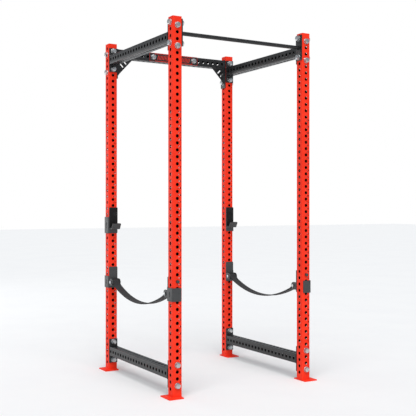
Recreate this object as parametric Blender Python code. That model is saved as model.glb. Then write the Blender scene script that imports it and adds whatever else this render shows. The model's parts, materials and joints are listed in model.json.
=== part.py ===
"""Power cage: four perforated uprights on welded foot plates, joined by crossmembers and a pull-up bar.

Two J-cups hang inside the rear uprights, and a webbing safety strap is slung between two brackets on each
side. Each J-cup and bracket is held by a pin through the upright and swings outward about that pin.

Metres, +Z up. The origin is on the floor at the middle of the cage. The pull-up bar is on the -Y side and the
name plate on the +Y side. Pieces are drawn for the rear right corner, where +X is outward and -Y is into the
cage, and mirrored to the other corners.
"""

import math

import bmesh
import bpy
from mathutils import Matrix, Vector

# Frame
SPACING = 1.155  # between upright centres, both ways
HEIGHT = 2.755
TUBE = 0.075
WALL = 0.004
CORNER = 0.006
GAP = 0.0003  # between pieces that touch
HOLE_D = 0.025
HOLE_SIDES = 12

# Foot plates
FOOT_THICK = 0.008
FOOT_OUT = 0.045  # past the upright's outer face
FOOT_LENGTH = 0.150
ANCHOR_D = 0.016

# Crossmembers
FLANGE = 0.008
FLANGE_WIDTH = 0.074
SIDE_FLANGE = 0.200
SIDE_BOTTOM_Z = 0.165
SIDE_TOP_Z = 2.615
BOLT_SPREAD = 0.075  # from a flange's middle to its bolts
END_HOLE = 0.500  # the last hole of a crossmember's row, from its middle
REAR_BAR_Z = 2.6775
REAR_FLANGE_BOTTOM = 2.465
REAR_BOLTS = (2.515, 2.665)
GUSSET_WIDE = 0.142
GUSSET_TALL = 0.150
GUSSET_THICK = 0.006
SLOT_LENGTH = 0.040
SLOT_WIDTH = 0.011
PULL_UP_Z = 2.640
PULL_UP_D = 0.030

# Name plate
NAME_PLATE = (0.475, 0.005, 0.075)
NAME_BOLT_X = 0.200

# Bolts
SHAFT_D = 0.024
HEAD_CORNERS = 0.0416  # across the hexagon's corners
HEAD_HIGH = 0.015
NUT_HIGH = 0.018
WASHER_D = 0.044
WASHER_THICK = 0.003

# J-cups and strap brackets
PLATE = 0.006
PLATE_GAP = 0.001  # between a bracket and the upright it wraps
PLATE_INNER = 0.038  # from the upright's middle to the plate's inner edge
WRAP_INNER = 0.030  # the same, for the tab on the far side of the upright
PIN_D = 0.023
PIN_PROUD = 0.018  # how far the pin stands out of the upright's far side
J_CUP_PIN_Z = 1.340
J_CUP_SPAN = (-0.185, -0.048, 0.033)  # wrap's bottom and top, and the plate's top, from the pin
SHELF_Z = -0.147
SHELF_DEEP = 0.0583
LIP_TIP = (0.0818, -0.105)
LINER = 0.008
LINER_HALF = 0.036
STRAP_PIN_Z = 0.840
BRACKET_SPAN = (-0.143, -0.046, 0.033)

# Safety straps
ROLL_OUT = 0.044  # from the upright's face to the strap pin
ROLL_Z = -0.095  # from the bracket's pin to the strap pin
EAR_R = 0.030
EAR = 0.004
EAR_OUTER = 0.0378
SPOOL_D = 0.027
STRAP_BOLT_D = 0.016
STRAP_BOLT_HEAD = 0.0277
STRAP_BOLT_HIGH = 0.009
STRAP = 0.008
STRAP_WIDTH = 0.066
STRAP_SAG = 0.1215
SPAN_START = 0.0755  # from the upright's face to where the hanging length starts

HALF = TUBE / 2
CENTRE = SPACING / 2
INNER = CENTRE - HALF
SIDES = {"left": -1, "right": 1}
ENDS = {"front": -1, "rear": 1}


def material(name, color, roughness, metallic=0.0):
    made = bpy.data.materials.new(name)
    made.use_nodes = True
    shader = made.node_tree.nodes["Principled BSDF"]
    shader.inputs["Base Color"].default_value = (*color, 1.0)
    shader.inputs["Roughness"].default_value = roughness
    shader.inputs["Metallic"].default_value = metallic
    return made


def make_materials():
    return {
        "red": material("red_powder_coat", (0.80, 0.035, 0.018), 0.45),
        "black": material("black_powder_coat", (0.035, 0.036, 0.038), 0.5),
        "zinc": material("zinc_plated_steel", (0.62, 0.64, 0.66), 0.3, 1.0),
        "plastic": material("black_plastic", (0.012, 0.012, 0.013), 0.55),
        "webbing": material("webbing", (0.022, 0.022, 0.024), 0.9),
        "plate": material("name_plate_paint", (0.020, 0.020, 0.022), 0.4),
    }


def circle(u, v, radius, sides):
    """A polygon whose flats, not its corners, lie on the circle."""
    corner = radius / math.cos(math.pi / sides)
    turns = [2 * math.pi * (i + 0.5) / sides for i in range(sides)]
    return [(u + corner * math.cos(t), v + corner * math.sin(t)) for t in turns]


def rounded(low, high, radius, steps=2):
    """A rectangle with round corners, anticlockwise."""
    centres = (
        (high[0] - radius, high[1] - radius),
        (low[0] + radius, high[1] - radius),
        (low[0] + radius, low[1] + radius),
        (high[0] - radius, low[1] + radius),
    )
    points = []
    for quarter, (u, v) in enumerate(centres):
        for i in range(steps + 1):
            t = math.pi / 2 * (quarter + i / steps)
            points.append((u + radius * math.cos(t), v + radius * math.sin(t)))
    return points


def slot(u, v, length, width, angle, steps=4):
    """A round-ended slot about (u, v), turned by angle."""
    reach = (length - width) / 2
    points = []
    for end in (0, 1):
        for i in range(steps + 1):
            t = math.pi * (i / steps - 0.5 + end)
            along = reach * (1 - 2 * end) + width / 2 * math.cos(t)
            across = width / 2 * math.sin(t)
            points.append(
                (
                    u + along * math.cos(angle) - across * math.sin(angle),
                    v + along * math.sin(angle) + across * math.cos(angle),
                )
            )
    return points


def offset_line(points, distance):
    """The line moved to its left by distance, with mitred corners."""
    line = [Vector(p) for p in points]
    moved = []
    for i, point in enumerate(line):
        before = (point - line[i - 1]).normalized() if i else None
        after = (line[i + 1] - point).normalized() if i + 1 < len(line) else None
        ways = [w for w in (before, after) if w is not None]
        normals = [Vector((-w.y, w.x)) for w in ways]
        middle = sum(normals, Vector((0, 0))).normalized()
        moved.append(tuple(point + middle * (distance / middle.dot(normals[0]))))
    return moved


def ribbon(points, thickness, offset=0.0):
    """The outline of a strip of that thickness along a line, moved to its left by offset."""
    left = offset_line(points, offset + thickness / 2)
    right = offset_line(points, offset - thickness / 2)
    return right + left[::-1]


def place(axis, along, u, v):
    """The point at `along` on the axis and (u, v) across it, in the order of the other two axes."""
    return {"X": (along, u, v), "Y": (u, along, v), "Z": (u, v, along)}[axis]


def add_prism(bm, outline, axis, low, high):
    rings = [[bm.verts.new(place(axis, end, u, v)) for u, v in outline] for end in (low, high)]
    bm.faces.new(rings[0])
    bm.faces.new(rings[1])
    join_rings(bm, *rings)


def join_rings(bm, first, second):
    count = len(first)
    for i in range(count):
        j = (i + 1) % count
        bm.faces.new((first[i], first[j], second[j], second[i]))


def add_tube(bm, axis, centre, low, high, closed_top=False):
    """A square tube with round corners. Its bore stops a wall short of the top where that is closed."""
    u, v = centre
    inside, radius = HALF - WALL, CORNER - WALL / 2
    outer = rounded((u - HALF, v - HALF), (u + HALF, v + HALF), CORNER)
    inner = rounded((u - inside, v - inside), (u + inside, v + inside), radius)
    top = high - WALL if closed_top else high
    rings = [
        [bm.verts.new(place(axis, end, *p)) for p in outline]
        for outline, end in ((inner, top), (inner, low), (outer, low), (outer, high))
    ]
    for first, second in zip(rings, rings[1:]):
        join_rings(bm, first, second)
    if closed_top:
        bm.faces.new(rings[0])
        bm.faces.new(rings[3])
    else:
        join_rings(bm, rings[3], rings[0])


def add_hole_cutters(bm, axis, places, walls, radius=HOLE_D / 2):
    """Short cutters on a row of holes: places are (u, v) across the axis, walls where they cut along it."""
    reach = WALL * 1.5
    for u, v in places:
        for wall in walls:
            add_prism(bm, circle(u, v, radius, HOLE_SIDES), axis, wall - reach, wall + reach)


def make(name, bm, look, location=(0, 0, 0), mirror=(1, 1), parent=None):
    """An object from a shape drawn at the rear right corner, mirrored to its own."""
    bmesh.ops.transform(bm, matrix=Matrix.Diagonal((*mirror, 1, 1)), verts=bm.verts)
    bmesh.ops.recalc_face_normals(bm, faces=bm.faces)
    mesh = bpy.data.meshes.new(name)
    bm.to_mesh(mesh)
    bm.free()
    mesh.shade_smooth()
    mesh.set_sharp_from_angle(angle=math.radians(35))
    obj = bpy.data.objects.new(name, mesh)
    if look is not None:
        mesh.materials.append(look)
    obj.location = location
    obj.parent = parent
    bpy.context.scene.collection.objects.link(obj)
    return obj


def combine(target, operation, bm, mirror=(1, 1)):
    """Joins a hidden helper shape to the target, or cuts it away."""
    name = f"{target.name}_{operation.lower()}_{len(target.modifiers)}"
    helper = make(name, bm, None, target.location, mirror, target.parent)
    helper.hide_render = True
    helper.display_type = "WIRE"
    modifier = target.modifiers.new(operation.title(), "BOOLEAN")
    modifier.operation = operation
    modifier.solver = "EXACT"
    modifier.object = helper


def make_upright(side, end, looks):
    mirror = (SIDES[side], ENDS[end])
    bm = bmesh.new()
    add_tube(bm, "Z", (0, 0), FOOT_THICK / 2, HEIGHT, closed_top=True)
    location = (mirror[0] * CENTRE, mirror[1] * CENTRE, 0)
    upright = make(f"{end}_{side}_upright", bm, looks["red"], location, mirror)

    plate = bmesh.new()
    low = (-HALF - GAP, -FOOT_LENGTH / 2)
    high = (HALF + FOOT_OUT, FOOT_LENGTH / 2)
    add_prism(plate, rounded(low, high, CORNER), "Z", 0, FOOT_THICK)
    combine(upright, "UNION", plate, mirror)

    holes = bmesh.new()
    walls = (-HALF + WALL / 2, HALF - WALL / 2)
    along_y = [z + way * BOLT_SPREAD for z in (SIDE_BOTTOM_Z, SIDE_TOP_Z) for way in (-1, 1)]
    along_y.append(STRAP_PIN_Z)
    along_x = REAR_BOLTS
    if end == "rear":
        along_y.append(J_CUP_PIN_Z)
    else:
        along_x = (PULL_UP_Z - BOLT_SPREAD, PULL_UP_Z + BOLT_SPREAD)
    add_hole_cutters(holes, "Y", [(0, z) for z in along_y], walls)
    add_hole_cutters(holes, "X", [(0, z) for z in along_x], walls)
    anchor = circle(HALF + FOOT_OUT / 2, 0, ANCHOR_D / 2, HOLE_SIDES)
    add_prism(holes, anchor, "Z", -FOOT_THICK, 2 * FOOT_THICK)
    combine(upright, "DIFFERENCE", holes, mirror)


def add_flanges(bm, axis, across, z_low, z_high):
    """The two end plates of a member that runs along the axis between the uprights' inner faces."""
    half = FLANGE_WIDTH / 2
    outline = rounded((across - half, z_low), (across + half, z_high), CORNER / 2)
    outside = INNER - GAP
    for way in (-1, 1):
        add_prism(bm, outline, axis, *sorted((way * outside, way * (outside - FLANGE))))


def add_flange_cutters(bm, axis, across, heights):
    middle = INNER - GAP - FLANGE / 2
    for z in heights:
        for way in (-1, 1):
            hole = circle(across, z, HOLE_D / 2, HOLE_SIDES)
            add_prism(bm, hole, axis, way * middle - FLANGE, way * middle + FLANGE)


def make_side_crossmember(side, level, z, looks):
    """Its cavity opens through the first and last holes of its side rows."""
    x = SIDES[side] * CENTRE
    reach = INNER - GAP - FLANGE / 2
    bm = bmesh.new()
    add_tube(bm, "Y", (x, z), -reach, reach)
    member = make(f"{side}_{level}_crossmember", bm, looks["black"])

    flanges = bmesh.new()
    add_flanges(flanges, "Y", x, z - SIDE_FLANGE / 2, z + SIDE_FLANGE / 2)
    combine(member, "UNION", flanges)

    holes = bmesh.new()
    add_flange_cutters(holes, "Y", x, (z - BOLT_SPREAD, z + BOLT_SPREAD))
    walls = (x - HALF + WALL / 2, x + HALF - WALL / 2)
    add_hole_cutters(holes, "X", [(-END_HOLE, z), (END_HOLE, z)], walls)
    combine(member, "DIFFERENCE", holes)


def make_rear_crossmember(looks):
    reach = INNER - GAP - FLANGE / 2
    inside = INNER - GAP - FLANGE
    bottom = REAR_BAR_Z - HALF
    bm = bmesh.new()
    add_tube(bm, "X", (CENTRE, REAR_BAR_Z), -reach, reach)
    member = make("rear_crossmember", bm, looks["black"])

    flanges = bmesh.new()
    add_flanges(flanges, "X", CENTRE, REAR_FLANGE_BOTTOM, REAR_BAR_Z + HALF + GAP)
    combine(member, "UNION", flanges)

    gussets, holes = bmesh.new(), bmesh.new()
    root = FLANGE / 4  # let into the flange and the tube's lower wall
    front = CENTRE - HALF + WALL / 4
    middle = (inside - GUSSET_WIDE * 0.345, bottom - GUSSET_TALL * 0.32)
    for way in (-1, 1):
        corners = (
            (way * (inside + root), bottom + root),
            (way * (inside - GUSSET_WIDE), bottom + root),
            (way * (inside + root), bottom - GUSSET_TALL),
        )
        add_prism(gussets, corners, "Y", front, front + GUSSET_THICK)
        for step in (-SLOT_LENGTH / 2, SLOT_LENGTH / 2):
            along = step * math.sqrt(0.5)
            x, z = way * (middle[0] + along), middle[1] - along
            outline = slot(x, z, SLOT_LENGTH, SLOT_WIDTH, way * math.pi / 4)
            add_prism(holes, outline, "Y", front - GUSSET_THICK, front + 2 * GUSSET_THICK)
    combine(member, "UNION", gussets)

    add_flange_cutters(holes, "X", CENTRE, REAR_BOLTS)
    walls = (CENTRE - HALF + WALL / 2, CENTRE + HALF - WALL / 2)
    places = [(-NAME_BOLT_X, REAR_BAR_Z), (NAME_BOLT_X, REAR_BAR_Z)]
    add_hole_cutters(holes, "Y", places, walls)
    combine(member, "DIFFERENCE", holes)


def make_pull_up_bar(looks):
    reach = INNER - GAP - FLANGE / 2
    bm = bmesh.new()
    add_prism(bm, circle(-CENTRE, PULL_UP_Z, PULL_UP_D / 2, 16), "X", -reach, reach)
    bar = make("pull_up_bar", bm, looks["black"])

    flanges = bmesh.new()
    half = SIDE_FLANGE / 2
    add_flanges(flanges, "X", -CENTRE, PULL_UP_Z - half, PULL_UP_Z + half)
    combine(bar, "UNION", flanges)

    holes = bmesh.new()
    add_flange_cutters(holes, "X", -CENTRE, (PULL_UP_Z - BOLT_SPREAD, PULL_UP_Z + BOLT_SPREAD))
    combine(bar, "DIFFERENCE", holes)


def make_name_plate(looks):
    wide, thick, tall = NAME_PLATE
    front = INNER - GAP - thick
    bm = bmesh.new()
    low, high = (-wide / 2, REAR_BAR_Z - tall / 2), (wide / 2, REAR_BAR_Z + tall / 2)
    add_prism(bm, rounded(low, high, CORNER), "Y", front, front + thick)
    plate = make("name_plate", bm, looks["plate"])

    holes = bmesh.new()
    places = [(-NAME_BOLT_X, REAR_BAR_Z), (NAME_BOLT_X, REAR_BAR_Z)]
    add_hole_cutters(holes, "Y", places, [front + thick / 2])
    combine(plate, "DIFFERENCE", holes)


def add_turned(bm, origin, axis, profile):
    """A turned piece. Each (along, radius, is_hexagon) of the profile is a ring of 12 points."""
    origin, axis = Vector(origin), Vector(axis)
    level = axis.cross(Vector((0, 0, 1)))
    upright = level.cross(axis)
    rings = []
    for along, radius, is_hexagon in profile:
        ring = []
        for i in range(12):
            r = radius * math.cos(math.pi / 6) if is_hexagon and i % 2 else radius
            t = math.pi * i / 6
            point = origin + axis * along + level * (r * math.cos(t)) + upright * (r * math.sin(t))
            ring.append(bm.verts.new(point))
        rings.append(ring)
    bm.faces.new(rings[0])
    bm.faces.new(rings[-1])
    for first, second in zip(rings, rings[1:]):
        join_rings(bm, first, second)


def make_bolt(name, origin, axis, grip, looks, captive=False):
    """A hexagon bolt with its washers and nut. It starts at the face under the head and clamps grip."""
    head, washer, shaft = HEAD_CORNERS / 2, WASHER_D / 2, SHAFT_D / 2
    seat, back = -GAP - WASHER_THICK, grip + GAP
    nut = back if captive else back + WASHER_THICK
    profile = [
        (seat - HEAD_HIGH, head, True),
        (seat, head, True),
        (seat, washer, False),
        (-GAP, washer, False),
        (-GAP, shaft, False),
        (back, shaft, False),
    ]
    if not captive:
        profile += [(back, washer, False), (nut, washer, False)]
    profile += [(nut, head, True), (nut + NUT_HIGH, head, True)]
    bm = bmesh.new()
    add_turned(bm, origin, axis, profile)
    make(name, bm, looks["zinc"])


def make_bolts(looks):
    grip = TUBE + GAP + FLANGE
    outside = CENTRE + HALF
    heights = {"lower": -BOLT_SPREAD, "upper": BOLT_SPREAD}
    for side, sx in SIDES.items():
        for end, sy in ENDS.items():
            for level, z in (("bottom", SIDE_BOTTOM_Z), ("top", SIDE_TOP_Z)):
                for height, dz in heights.items():
                    name = f"{side}_{level}_{end}_{height}_bolt"
                    make_bolt(name, (sx * CENTRE, sy * outside, z + dz), (0, -sy, 0), grip, looks)
        for height, dz in heights.items():
            origin = (sx * outside, -CENTRE, PULL_UP_Z + dz)
            make_bolt(f"pull_up_bar_{side}_{height}_bolt", origin, (-sx, 0, 0), grip, looks)
        for height, z in zip(heights, REAR_BOLTS):
            origin = (sx * outside, CENTRE, z)
            name = f"rear_crossmember_{side}_{height}_bolt"
            make_bolt(name, origin, (-sx, 0, 0), grip, looks, captive=height == "upper")
        origin = (sx * NAME_BOLT_X, INNER - GAP - NAME_PLATE[1], REAR_BAR_Z)
        plate_grip = NAME_PLATE[1] + GAP + TUBE
        make_bolt(f"name_plate_{side}_bolt", origin, (0, 1, 0), plate_grip, looks)


def wrap_outline():
    """The bent plate round the upright, from above: inner face, outer side and far face."""
    near = HALF + PLATE_GAP + PLATE / 2
    line = [(-PLATE_INNER, -near), (near, -near), (near, near), (-WRAP_INNER, near)]
    return ribbon(line, PLATE)


def make_hanger(name, span, mirror, pivot, looks):
    """What a J-cup and a strap bracket share: the wrap, the taller plate above it and the pin."""
    bottom, wrap_top, top = span
    bm = bmesh.new()
    add_prism(bm, wrap_outline(), "Z", bottom, wrap_top)
    body = make(name, bm, looks["black"], mirror=mirror, parent=pivot)

    plate = bmesh.new()
    face = -HALF - PLATE_GAP
    low, high = (-PLATE_INNER + GAP, wrap_top - TUBE / 2), (PLATE_INNER, top)
    add_prism(plate, rounded(low, high, CORNER / 2), "Y", face - PLATE + GAP, face - GAP)
    combine(body, "UNION", plate, mirror)

    pin = bmesh.new()
    add_prism(pin, circle(0, 0, PIN_D / 2, HOLE_SIDES), "Y", face - PLATE / 2, HALF + PIN_PROUD)
    combine(body, "UNION", pin, mirror)
    return body


def make_pivot(name, mirror, z):
    """The empty on the axis that a hanger swings about."""
    pivot = bpy.data.objects.new(name, None)
    pivot.location = (mirror[0] * CENTRE, mirror[1] * CENTRE, z)
    bpy.context.scene.collection.objects.link(pivot)
    return pivot


def from_face(outline):
    """An outline of (distance from the upright's inner face, z) as (y, z)."""
    return [(-HALF - distance, z) for distance, z in outline]


def make_j_cup(side, looks):
    mirror = (SIDES[side], ENDS["rear"])
    pivot = make_pivot(f"{side}_j_cup_pivot", mirror, J_CUP_PIN_Z)
    body = make_hanger(f"{side}_j_cup", J_CUP_SPAN, mirror, pivot, looks)

    tray_line = [(PLATE_GAP + PLATE / 2, SHELF_Z), (SHELF_DEEP, SHELF_Z), LIP_TIP]
    tray = bmesh.new()
    half = PLATE_INNER - GAP
    add_prism(tray, from_face(ribbon(tray_line, PLATE)), "X", -half, half)
    combine(body, "UNION", tray, mirror)

    rise = PLATE / 2 + GAP + LINER / 2
    seat_line = [(PLATE_GAP + PLATE + GAP, SHELF_Z), *tray_line[1:]]
    seat = bmesh.new()
    add_prism(seat, from_face(ribbon(seat_line, LINER, rise)), "X", -LINER_HALF, LINER_HALF)
    make(f"{side}_j_cup_tray_liner", seat, looks["plastic"], mirror=mirror, parent=pivot)

    face = bmesh.new()
    back = -HALF - PLATE_GAP - PLATE - GAP
    low = (-LINER_HALF, SHELF_Z + rise + LINER / 2 + GAP)
    high = (LINER_HALF, J_CUP_SPAN[2] - GAP)
    add_prism(face, rounded(low, high, CORNER / 2), "Y", back - LINER, back)
    make(f"{side}_j_cup_face_liner", face, looks["plastic"], mirror=mirror, parent=pivot)


def make_strap_bracket(side, end, looks):
    mirror = (SIDES[side], ENDS[end])
    pivot = make_pivot(f"{side}_{end}_bracket_pivot", mirror, STRAP_PIN_Z)
    body = make_hanger(f"{side}_{end}_strap_bracket", BRACKET_SPAN, mirror, pivot, looks)

    y = -HALF - ROLL_OUT
    ears = bmesh.new()
    root = -HALF - PLATE_GAP - PLATE / 2
    turns = [math.pi * (0.5 + i / 8) for i in range(9)]
    ear = [(y + EAR_R * math.cos(t), ROLL_Z + EAR_R * math.sin(t)) for t in turns]
    ear += [(root, ROLL_Z - EAR_R), (root, ROLL_Z + EAR_R)]
    for way in (-1, 1):
        add_prism(ears, ear, "X", *sorted((way * EAR_OUTER, way * (EAR_OUTER - EAR))))
    combine(body, "UNION", ears, mirror)

    holes = bmesh.new()
    bore = circle(y, ROLL_Z, STRAP_BOLT_D / 2 + GAP, HOLE_SIDES)
    for way in (-1, 1):
        middle = way * (EAR_OUTER - EAR / 2)
        add_prism(holes, bore, "X", middle - EAR, middle + EAR)
    combine(body, "DIFFERENCE", holes, mirror)

    head, shaft, spool = STRAP_BOLT_HEAD / 2, STRAP_BOLT_D / 2, SPOOL_D / 2
    seat, inside = EAR_OUTER + GAP, EAR_OUTER - EAR - GAP
    half = [
        (seat + STRAP_BOLT_HIGH, head, True),
        (seat, head, True),
        (seat, shaft, False),
        (inside, shaft, False),
        (inside, spool, False),
    ]
    profile = half + [(-along, radius, is_hexagon) for along, radius, is_hexagon in half[::-1]]
    bolt = bmesh.new()
    add_turned(bolt, (0, y, ROLL_Z), (1, 0, 0), profile)
    make(f"{side}_{end}_strap_pin", bolt, looks["zinc"], mirror=mirror, parent=pivot)

    make_strap_loop(side, end, pivot, mirror, looks)


def strap_height(y):
    """Height of the strap's middle above its lowest point, at y from the cage's middle."""
    return STRAP_SAG * (y / (INNER - ROLL_OUT)) ** 2


def strap_outline(ys):
    """The strap's side view above its lowest point, between the first and the last y.

    Both ends are cut upright, so that a swinging end slides past the hanging length."""
    lower, upper = [], []
    for y in ys:
        slope = 2 * STRAP_SAG * y / (INNER - ROLL_OUT) ** 2
        half = STRAP / 2 * math.hypot(1, slope)
        lower.append((y, strap_height(y) - half))
        upper.append((y, strap_height(y) + half))
    return lower + upper[::-1]


def make_strap_loop(side, end, pivot, mirror, looks):
    """The sewn end of a strap: a roll round the spool and the doubled length up to the hanging span."""
    y = -HALF - ROLL_OUT
    bm = bmesh.new()
    half = STRAP_WIDTH / 2
    outer = SPOOL_D / 2 + GAP + STRAP
    add_prism(bm, circle(y, ROLL_Z, outer, 16), "X", -half, half)
    loop = make(f"{side}_strap_{end}_loop", bm, looks["webbing"], mirror=mirror, parent=pivot)

    tail = bmesh.new()
    start, finish = INNER - SPAN_START + GAP, INNER - ROLL_OUT
    outline = [
        (along - CENTRE, ROLL_Z - STRAP_SAG + height)
        for along, height in strap_outline((start, (start + finish) / 2, finish))
    ]
    inset = half - GAP
    add_prism(tail, outline, "X", -inset, inset)
    combine(loop, "UNION", tail, mirror)

    bore = bmesh.new()
    add_prism(bore, circle(y, ROLL_Z, SPOOL_D / 2 + GAP, HOLE_SIDES), "X", -STRAP_WIDTH, STRAP_WIDTH)
    combine(loop, "DIFFERENCE", bore, mirror)


def make_strap_span(side, looks):
    """The strap's hanging length, a parabola between the two sewn ends."""
    reach = INNER - SPAN_START
    low = STRAP_PIN_Z + ROLL_Z - STRAP_SAG
    count = 20
    ys = [reach * (2 * i / count - 1) for i in range(count + 1)]
    outline = [(y, low + height) for y, height in strap_outline(ys)]
    bm = bmesh.new()
    x, half = SIDES[side] * CENTRE, STRAP_WIDTH / 2
    add_prism(bm, outline, "X", x - half, x + half)
    make(f"{side}_strap_span", bm, looks["webbing"])


def main():
    for obj in list(bpy.data.objects):
        bpy.data.objects.remove(obj, do_unlink=True)
    looks = make_materials()
    for side in SIDES:
        for end in ENDS:
            make_upright(side, end, looks)
            make_strap_bracket(side, end, looks)
        make_side_crossmember(side, "bottom", SIDE_BOTTOM_Z, looks)
        make_side_crossmember(side, "top", SIDE_TOP_Z, looks)
        make_j_cup(side, looks)
        make_strap_span(side, looks)
    make_rear_crossmember(looks)
    make_pull_up_bar(looks)
    make_name_plate(looks)
    make_bolts(looks)


main()
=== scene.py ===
"""Power cage: the finished surfaces over the CAD frame, on a plain studio floor.

Hole rows, bolts, weld beads, stitches and stripes are Geometry Nodes trees that repeat one small mesh.
Corner pieces are drawn at the rear right corner, where +X is outward and -Y is into the cage, and mirrored.
"""

import json
import math

import bmesh
import bpy
from mathutils import Matrix, Vector


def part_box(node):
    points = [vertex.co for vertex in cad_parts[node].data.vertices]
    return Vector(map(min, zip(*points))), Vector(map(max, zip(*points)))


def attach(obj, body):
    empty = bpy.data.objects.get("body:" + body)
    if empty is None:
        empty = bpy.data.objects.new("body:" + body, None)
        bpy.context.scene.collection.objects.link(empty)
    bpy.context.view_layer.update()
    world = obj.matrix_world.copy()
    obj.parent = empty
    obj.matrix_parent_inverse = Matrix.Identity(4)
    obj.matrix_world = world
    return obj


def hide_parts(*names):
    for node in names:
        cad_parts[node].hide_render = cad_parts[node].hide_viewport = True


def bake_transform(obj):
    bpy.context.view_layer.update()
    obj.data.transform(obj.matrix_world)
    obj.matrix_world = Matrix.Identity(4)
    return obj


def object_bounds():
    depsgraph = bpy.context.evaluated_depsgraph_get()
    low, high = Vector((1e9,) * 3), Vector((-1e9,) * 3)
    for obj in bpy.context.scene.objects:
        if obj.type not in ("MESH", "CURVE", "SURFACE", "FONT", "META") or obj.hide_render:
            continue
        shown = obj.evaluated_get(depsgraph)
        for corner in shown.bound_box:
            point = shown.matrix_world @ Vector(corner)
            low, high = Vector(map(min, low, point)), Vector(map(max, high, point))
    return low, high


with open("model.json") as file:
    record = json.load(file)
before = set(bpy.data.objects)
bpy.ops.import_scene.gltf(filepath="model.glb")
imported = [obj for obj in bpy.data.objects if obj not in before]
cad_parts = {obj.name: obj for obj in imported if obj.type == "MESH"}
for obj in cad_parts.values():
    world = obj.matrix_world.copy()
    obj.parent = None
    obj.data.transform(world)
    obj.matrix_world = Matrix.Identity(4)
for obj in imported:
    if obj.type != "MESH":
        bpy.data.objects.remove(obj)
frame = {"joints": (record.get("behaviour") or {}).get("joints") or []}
cad_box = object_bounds()
pivots = {joint["name"]: Vector(joint["pos_m"]) for joint in frame["joints"]}

# Frame
TUBE = 0.075
WALL = 0.004
CORNER = 0.006
GAP = 0.0003
PITCH = 0.050
HOLE_R = 0.0125
RIM = 0.0007  # the chamfer round each hole
END_CUTS = 8  # a wall's width is cut in eight
STRIP = 0.016  # the plain wall between two holes that carries a position number
NUMBERS = 40
DIGIT_SIZE = (0.0115, 0.013, 0.0036)  # wide, high, and the width of a slot
DIGIT_BRIDGE = 0.0007
UNITS_AT = 0.023
TENS_AT = 0.0085
DIGIT_SLOTS = ("abcdef", "bc", "abdeg", "abcdg", "bcfg", "acdfg", "acdefg", "abc", "abcdefg", "abcdfg")
ARC_CUTS = 4
HALF = TUBE / 2
HEIGHT = cad_box[1][2]
CENTRE = pivots["right_j_cup_swing"].x
INNER = CENTRE - HALF
FOOT_THICK = 0.008
FOOT_LENGTH = 0.150
ANCHOR_R = 0.008
ANCHOR_OUT = 0.0225  # from the upright's outer face
CAP = 0.005
BEAD_R = 0.0026
BEAD_SINK = BEAD_R * 0.3  # from a bead's middle to the corner it fills
RIPPLE = 0.0032
RIPPLE_DEPTH = 0.2  # of the bead's radius

# Hole rows: the first hole and how many
UPRIGHT_Y_ROW = (0.090, 53)
UPRIGHT_X_ROW = (0.065, 54)
MEMBER_SIDE_ROW = (-0.500, 21)
MEMBER_TOP_ROW = (-0.475, 20)
UPRIGHT_STOPS = ((-0.017, 0.0, 0.017), (-0.025, -0.008, 0.008, 0.025))
MEMBER_STOPS = ((-0.025, 0.0, 0.025),) * 2

# Crossmembers
FLANGE = 0.008
FLANGE_WIDTH = 0.074
GUSSET_THICK = 0.006
GUSSET_WIDE = 0.142
GUSSET_TALL = 0.150
SLOT_LENGTH = 0.040
SLOT_WIDTH = 0.011
PULL_UP_R = 0.015

# Bolts
HEAD_R = 0.0208  # to the hexagon's corners
HEAD_HIGH = 0.015
NUT_HIGH = 0.018
WASHER_R = 0.022
WASHER_THICK = 0.003
SHAFT_R = 0.012
TWIST = math.radians(9)

# J-cups and strap brackets
PLATE = 0.006
PLATE_GAP = 0.001
PLATE_INNER = 0.038
WRAP_INNER = 0.030
PIN_R = 0.0115
PIN_PROUD = 0.018
J_CUP_SPAN = (-0.185, -0.048, 0.033)
BRACKET_SPAN = (-0.143, -0.046, 0.033)
SHELF_Z = -0.147
SHELF_DEEP = 0.0583
LIP_TIP = (0.0818, -0.105)
LINER = 0.008
LINER_HALF = 0.036

# Safety straps
ROLL_OUT = 0.044
ROLL_Z = -0.095
EAR_R = 0.030
EAR = 0.004
EAR_OUTER = 0.0378
SPOOL_R = 0.0135
STRAP_BOLT_R = 0.008
STRAP_BOLT_HEAD_R = 0.01385
STRAP_BOLT_HIGH = 0.009
PLY = 0.0040
STRAP_WIDTH = 0.066
STRAP_SAG = 0.1215
STITCH_ROWS = (-0.0275, -0.0225, 0.0225, 0.0275)  # across the webbing
STITCH_SPACING = 0.0068

SIDES = {"left": -1, "right": 1}
ENDS = {"front": -1, "rear": 1}


# ---------------------------------------------------------------------------------------------- node trees


def add_node(tree, kind, inputs=None, **settings):
    """A node with its settings, its values and, where an input is a socket, its links."""
    made = tree.nodes.new(kind)
    for name, value in settings.items():
        setattr(made, name, value)
    for key, value in (inputs or {}).items():
        if isinstance(value, bpy.types.NodeSocket):
            tree.links.new(value, made.inputs[key])
        else:
            made.inputs[key].default_value = value
    return made


def new_tree(name, kind, inputs, outputs):
    """A node group, its group input's sockets and its group output's sockets."""
    tree = bpy.data.node_groups.new(name, kind)
    for label, (socket, value) in inputs.items():
        made = tree.interface.new_socket(label, in_out="INPUT", socket_type=socket)
        if value is not None:
            made.default_value = value
    for label, socket in outputs.items():
        tree.interface.new_socket(label, in_out="OUTPUT", socket_type=socket)
    return tree, tree.nodes.new("NodeGroupInput").outputs, tree.nodes.new("NodeGroupOutput").inputs


FLOAT = "NodeSocketFloat"
INTEGER = "NodeSocketInt"
COLOUR = "NodeSocketColor"
VECTOR = "NodeSocketVector"
GEOMETRY = "NodeSocketGeometry"
MATERIAL = "NodeSocketMaterial"
OBJECT = "NodeSocketObject"


def blend_colours(tree, factor, first, second):
    return add_node(tree, "ShaderNodeMix", {0: factor, 6: first, 7: second}, data_type="RGBA").outputs[2]


def remap(tree, value, low, high, to_low=0.0, to_high=1.0):
    inputs = {"Value": value, "From Min": low, "From Max": high, "To Min": to_low, "To Max": to_high}
    return add_node(tree, "ShaderNodeMapRange", inputs, interpolation_type="SMOOTHSTEP").outputs[0]


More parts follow.
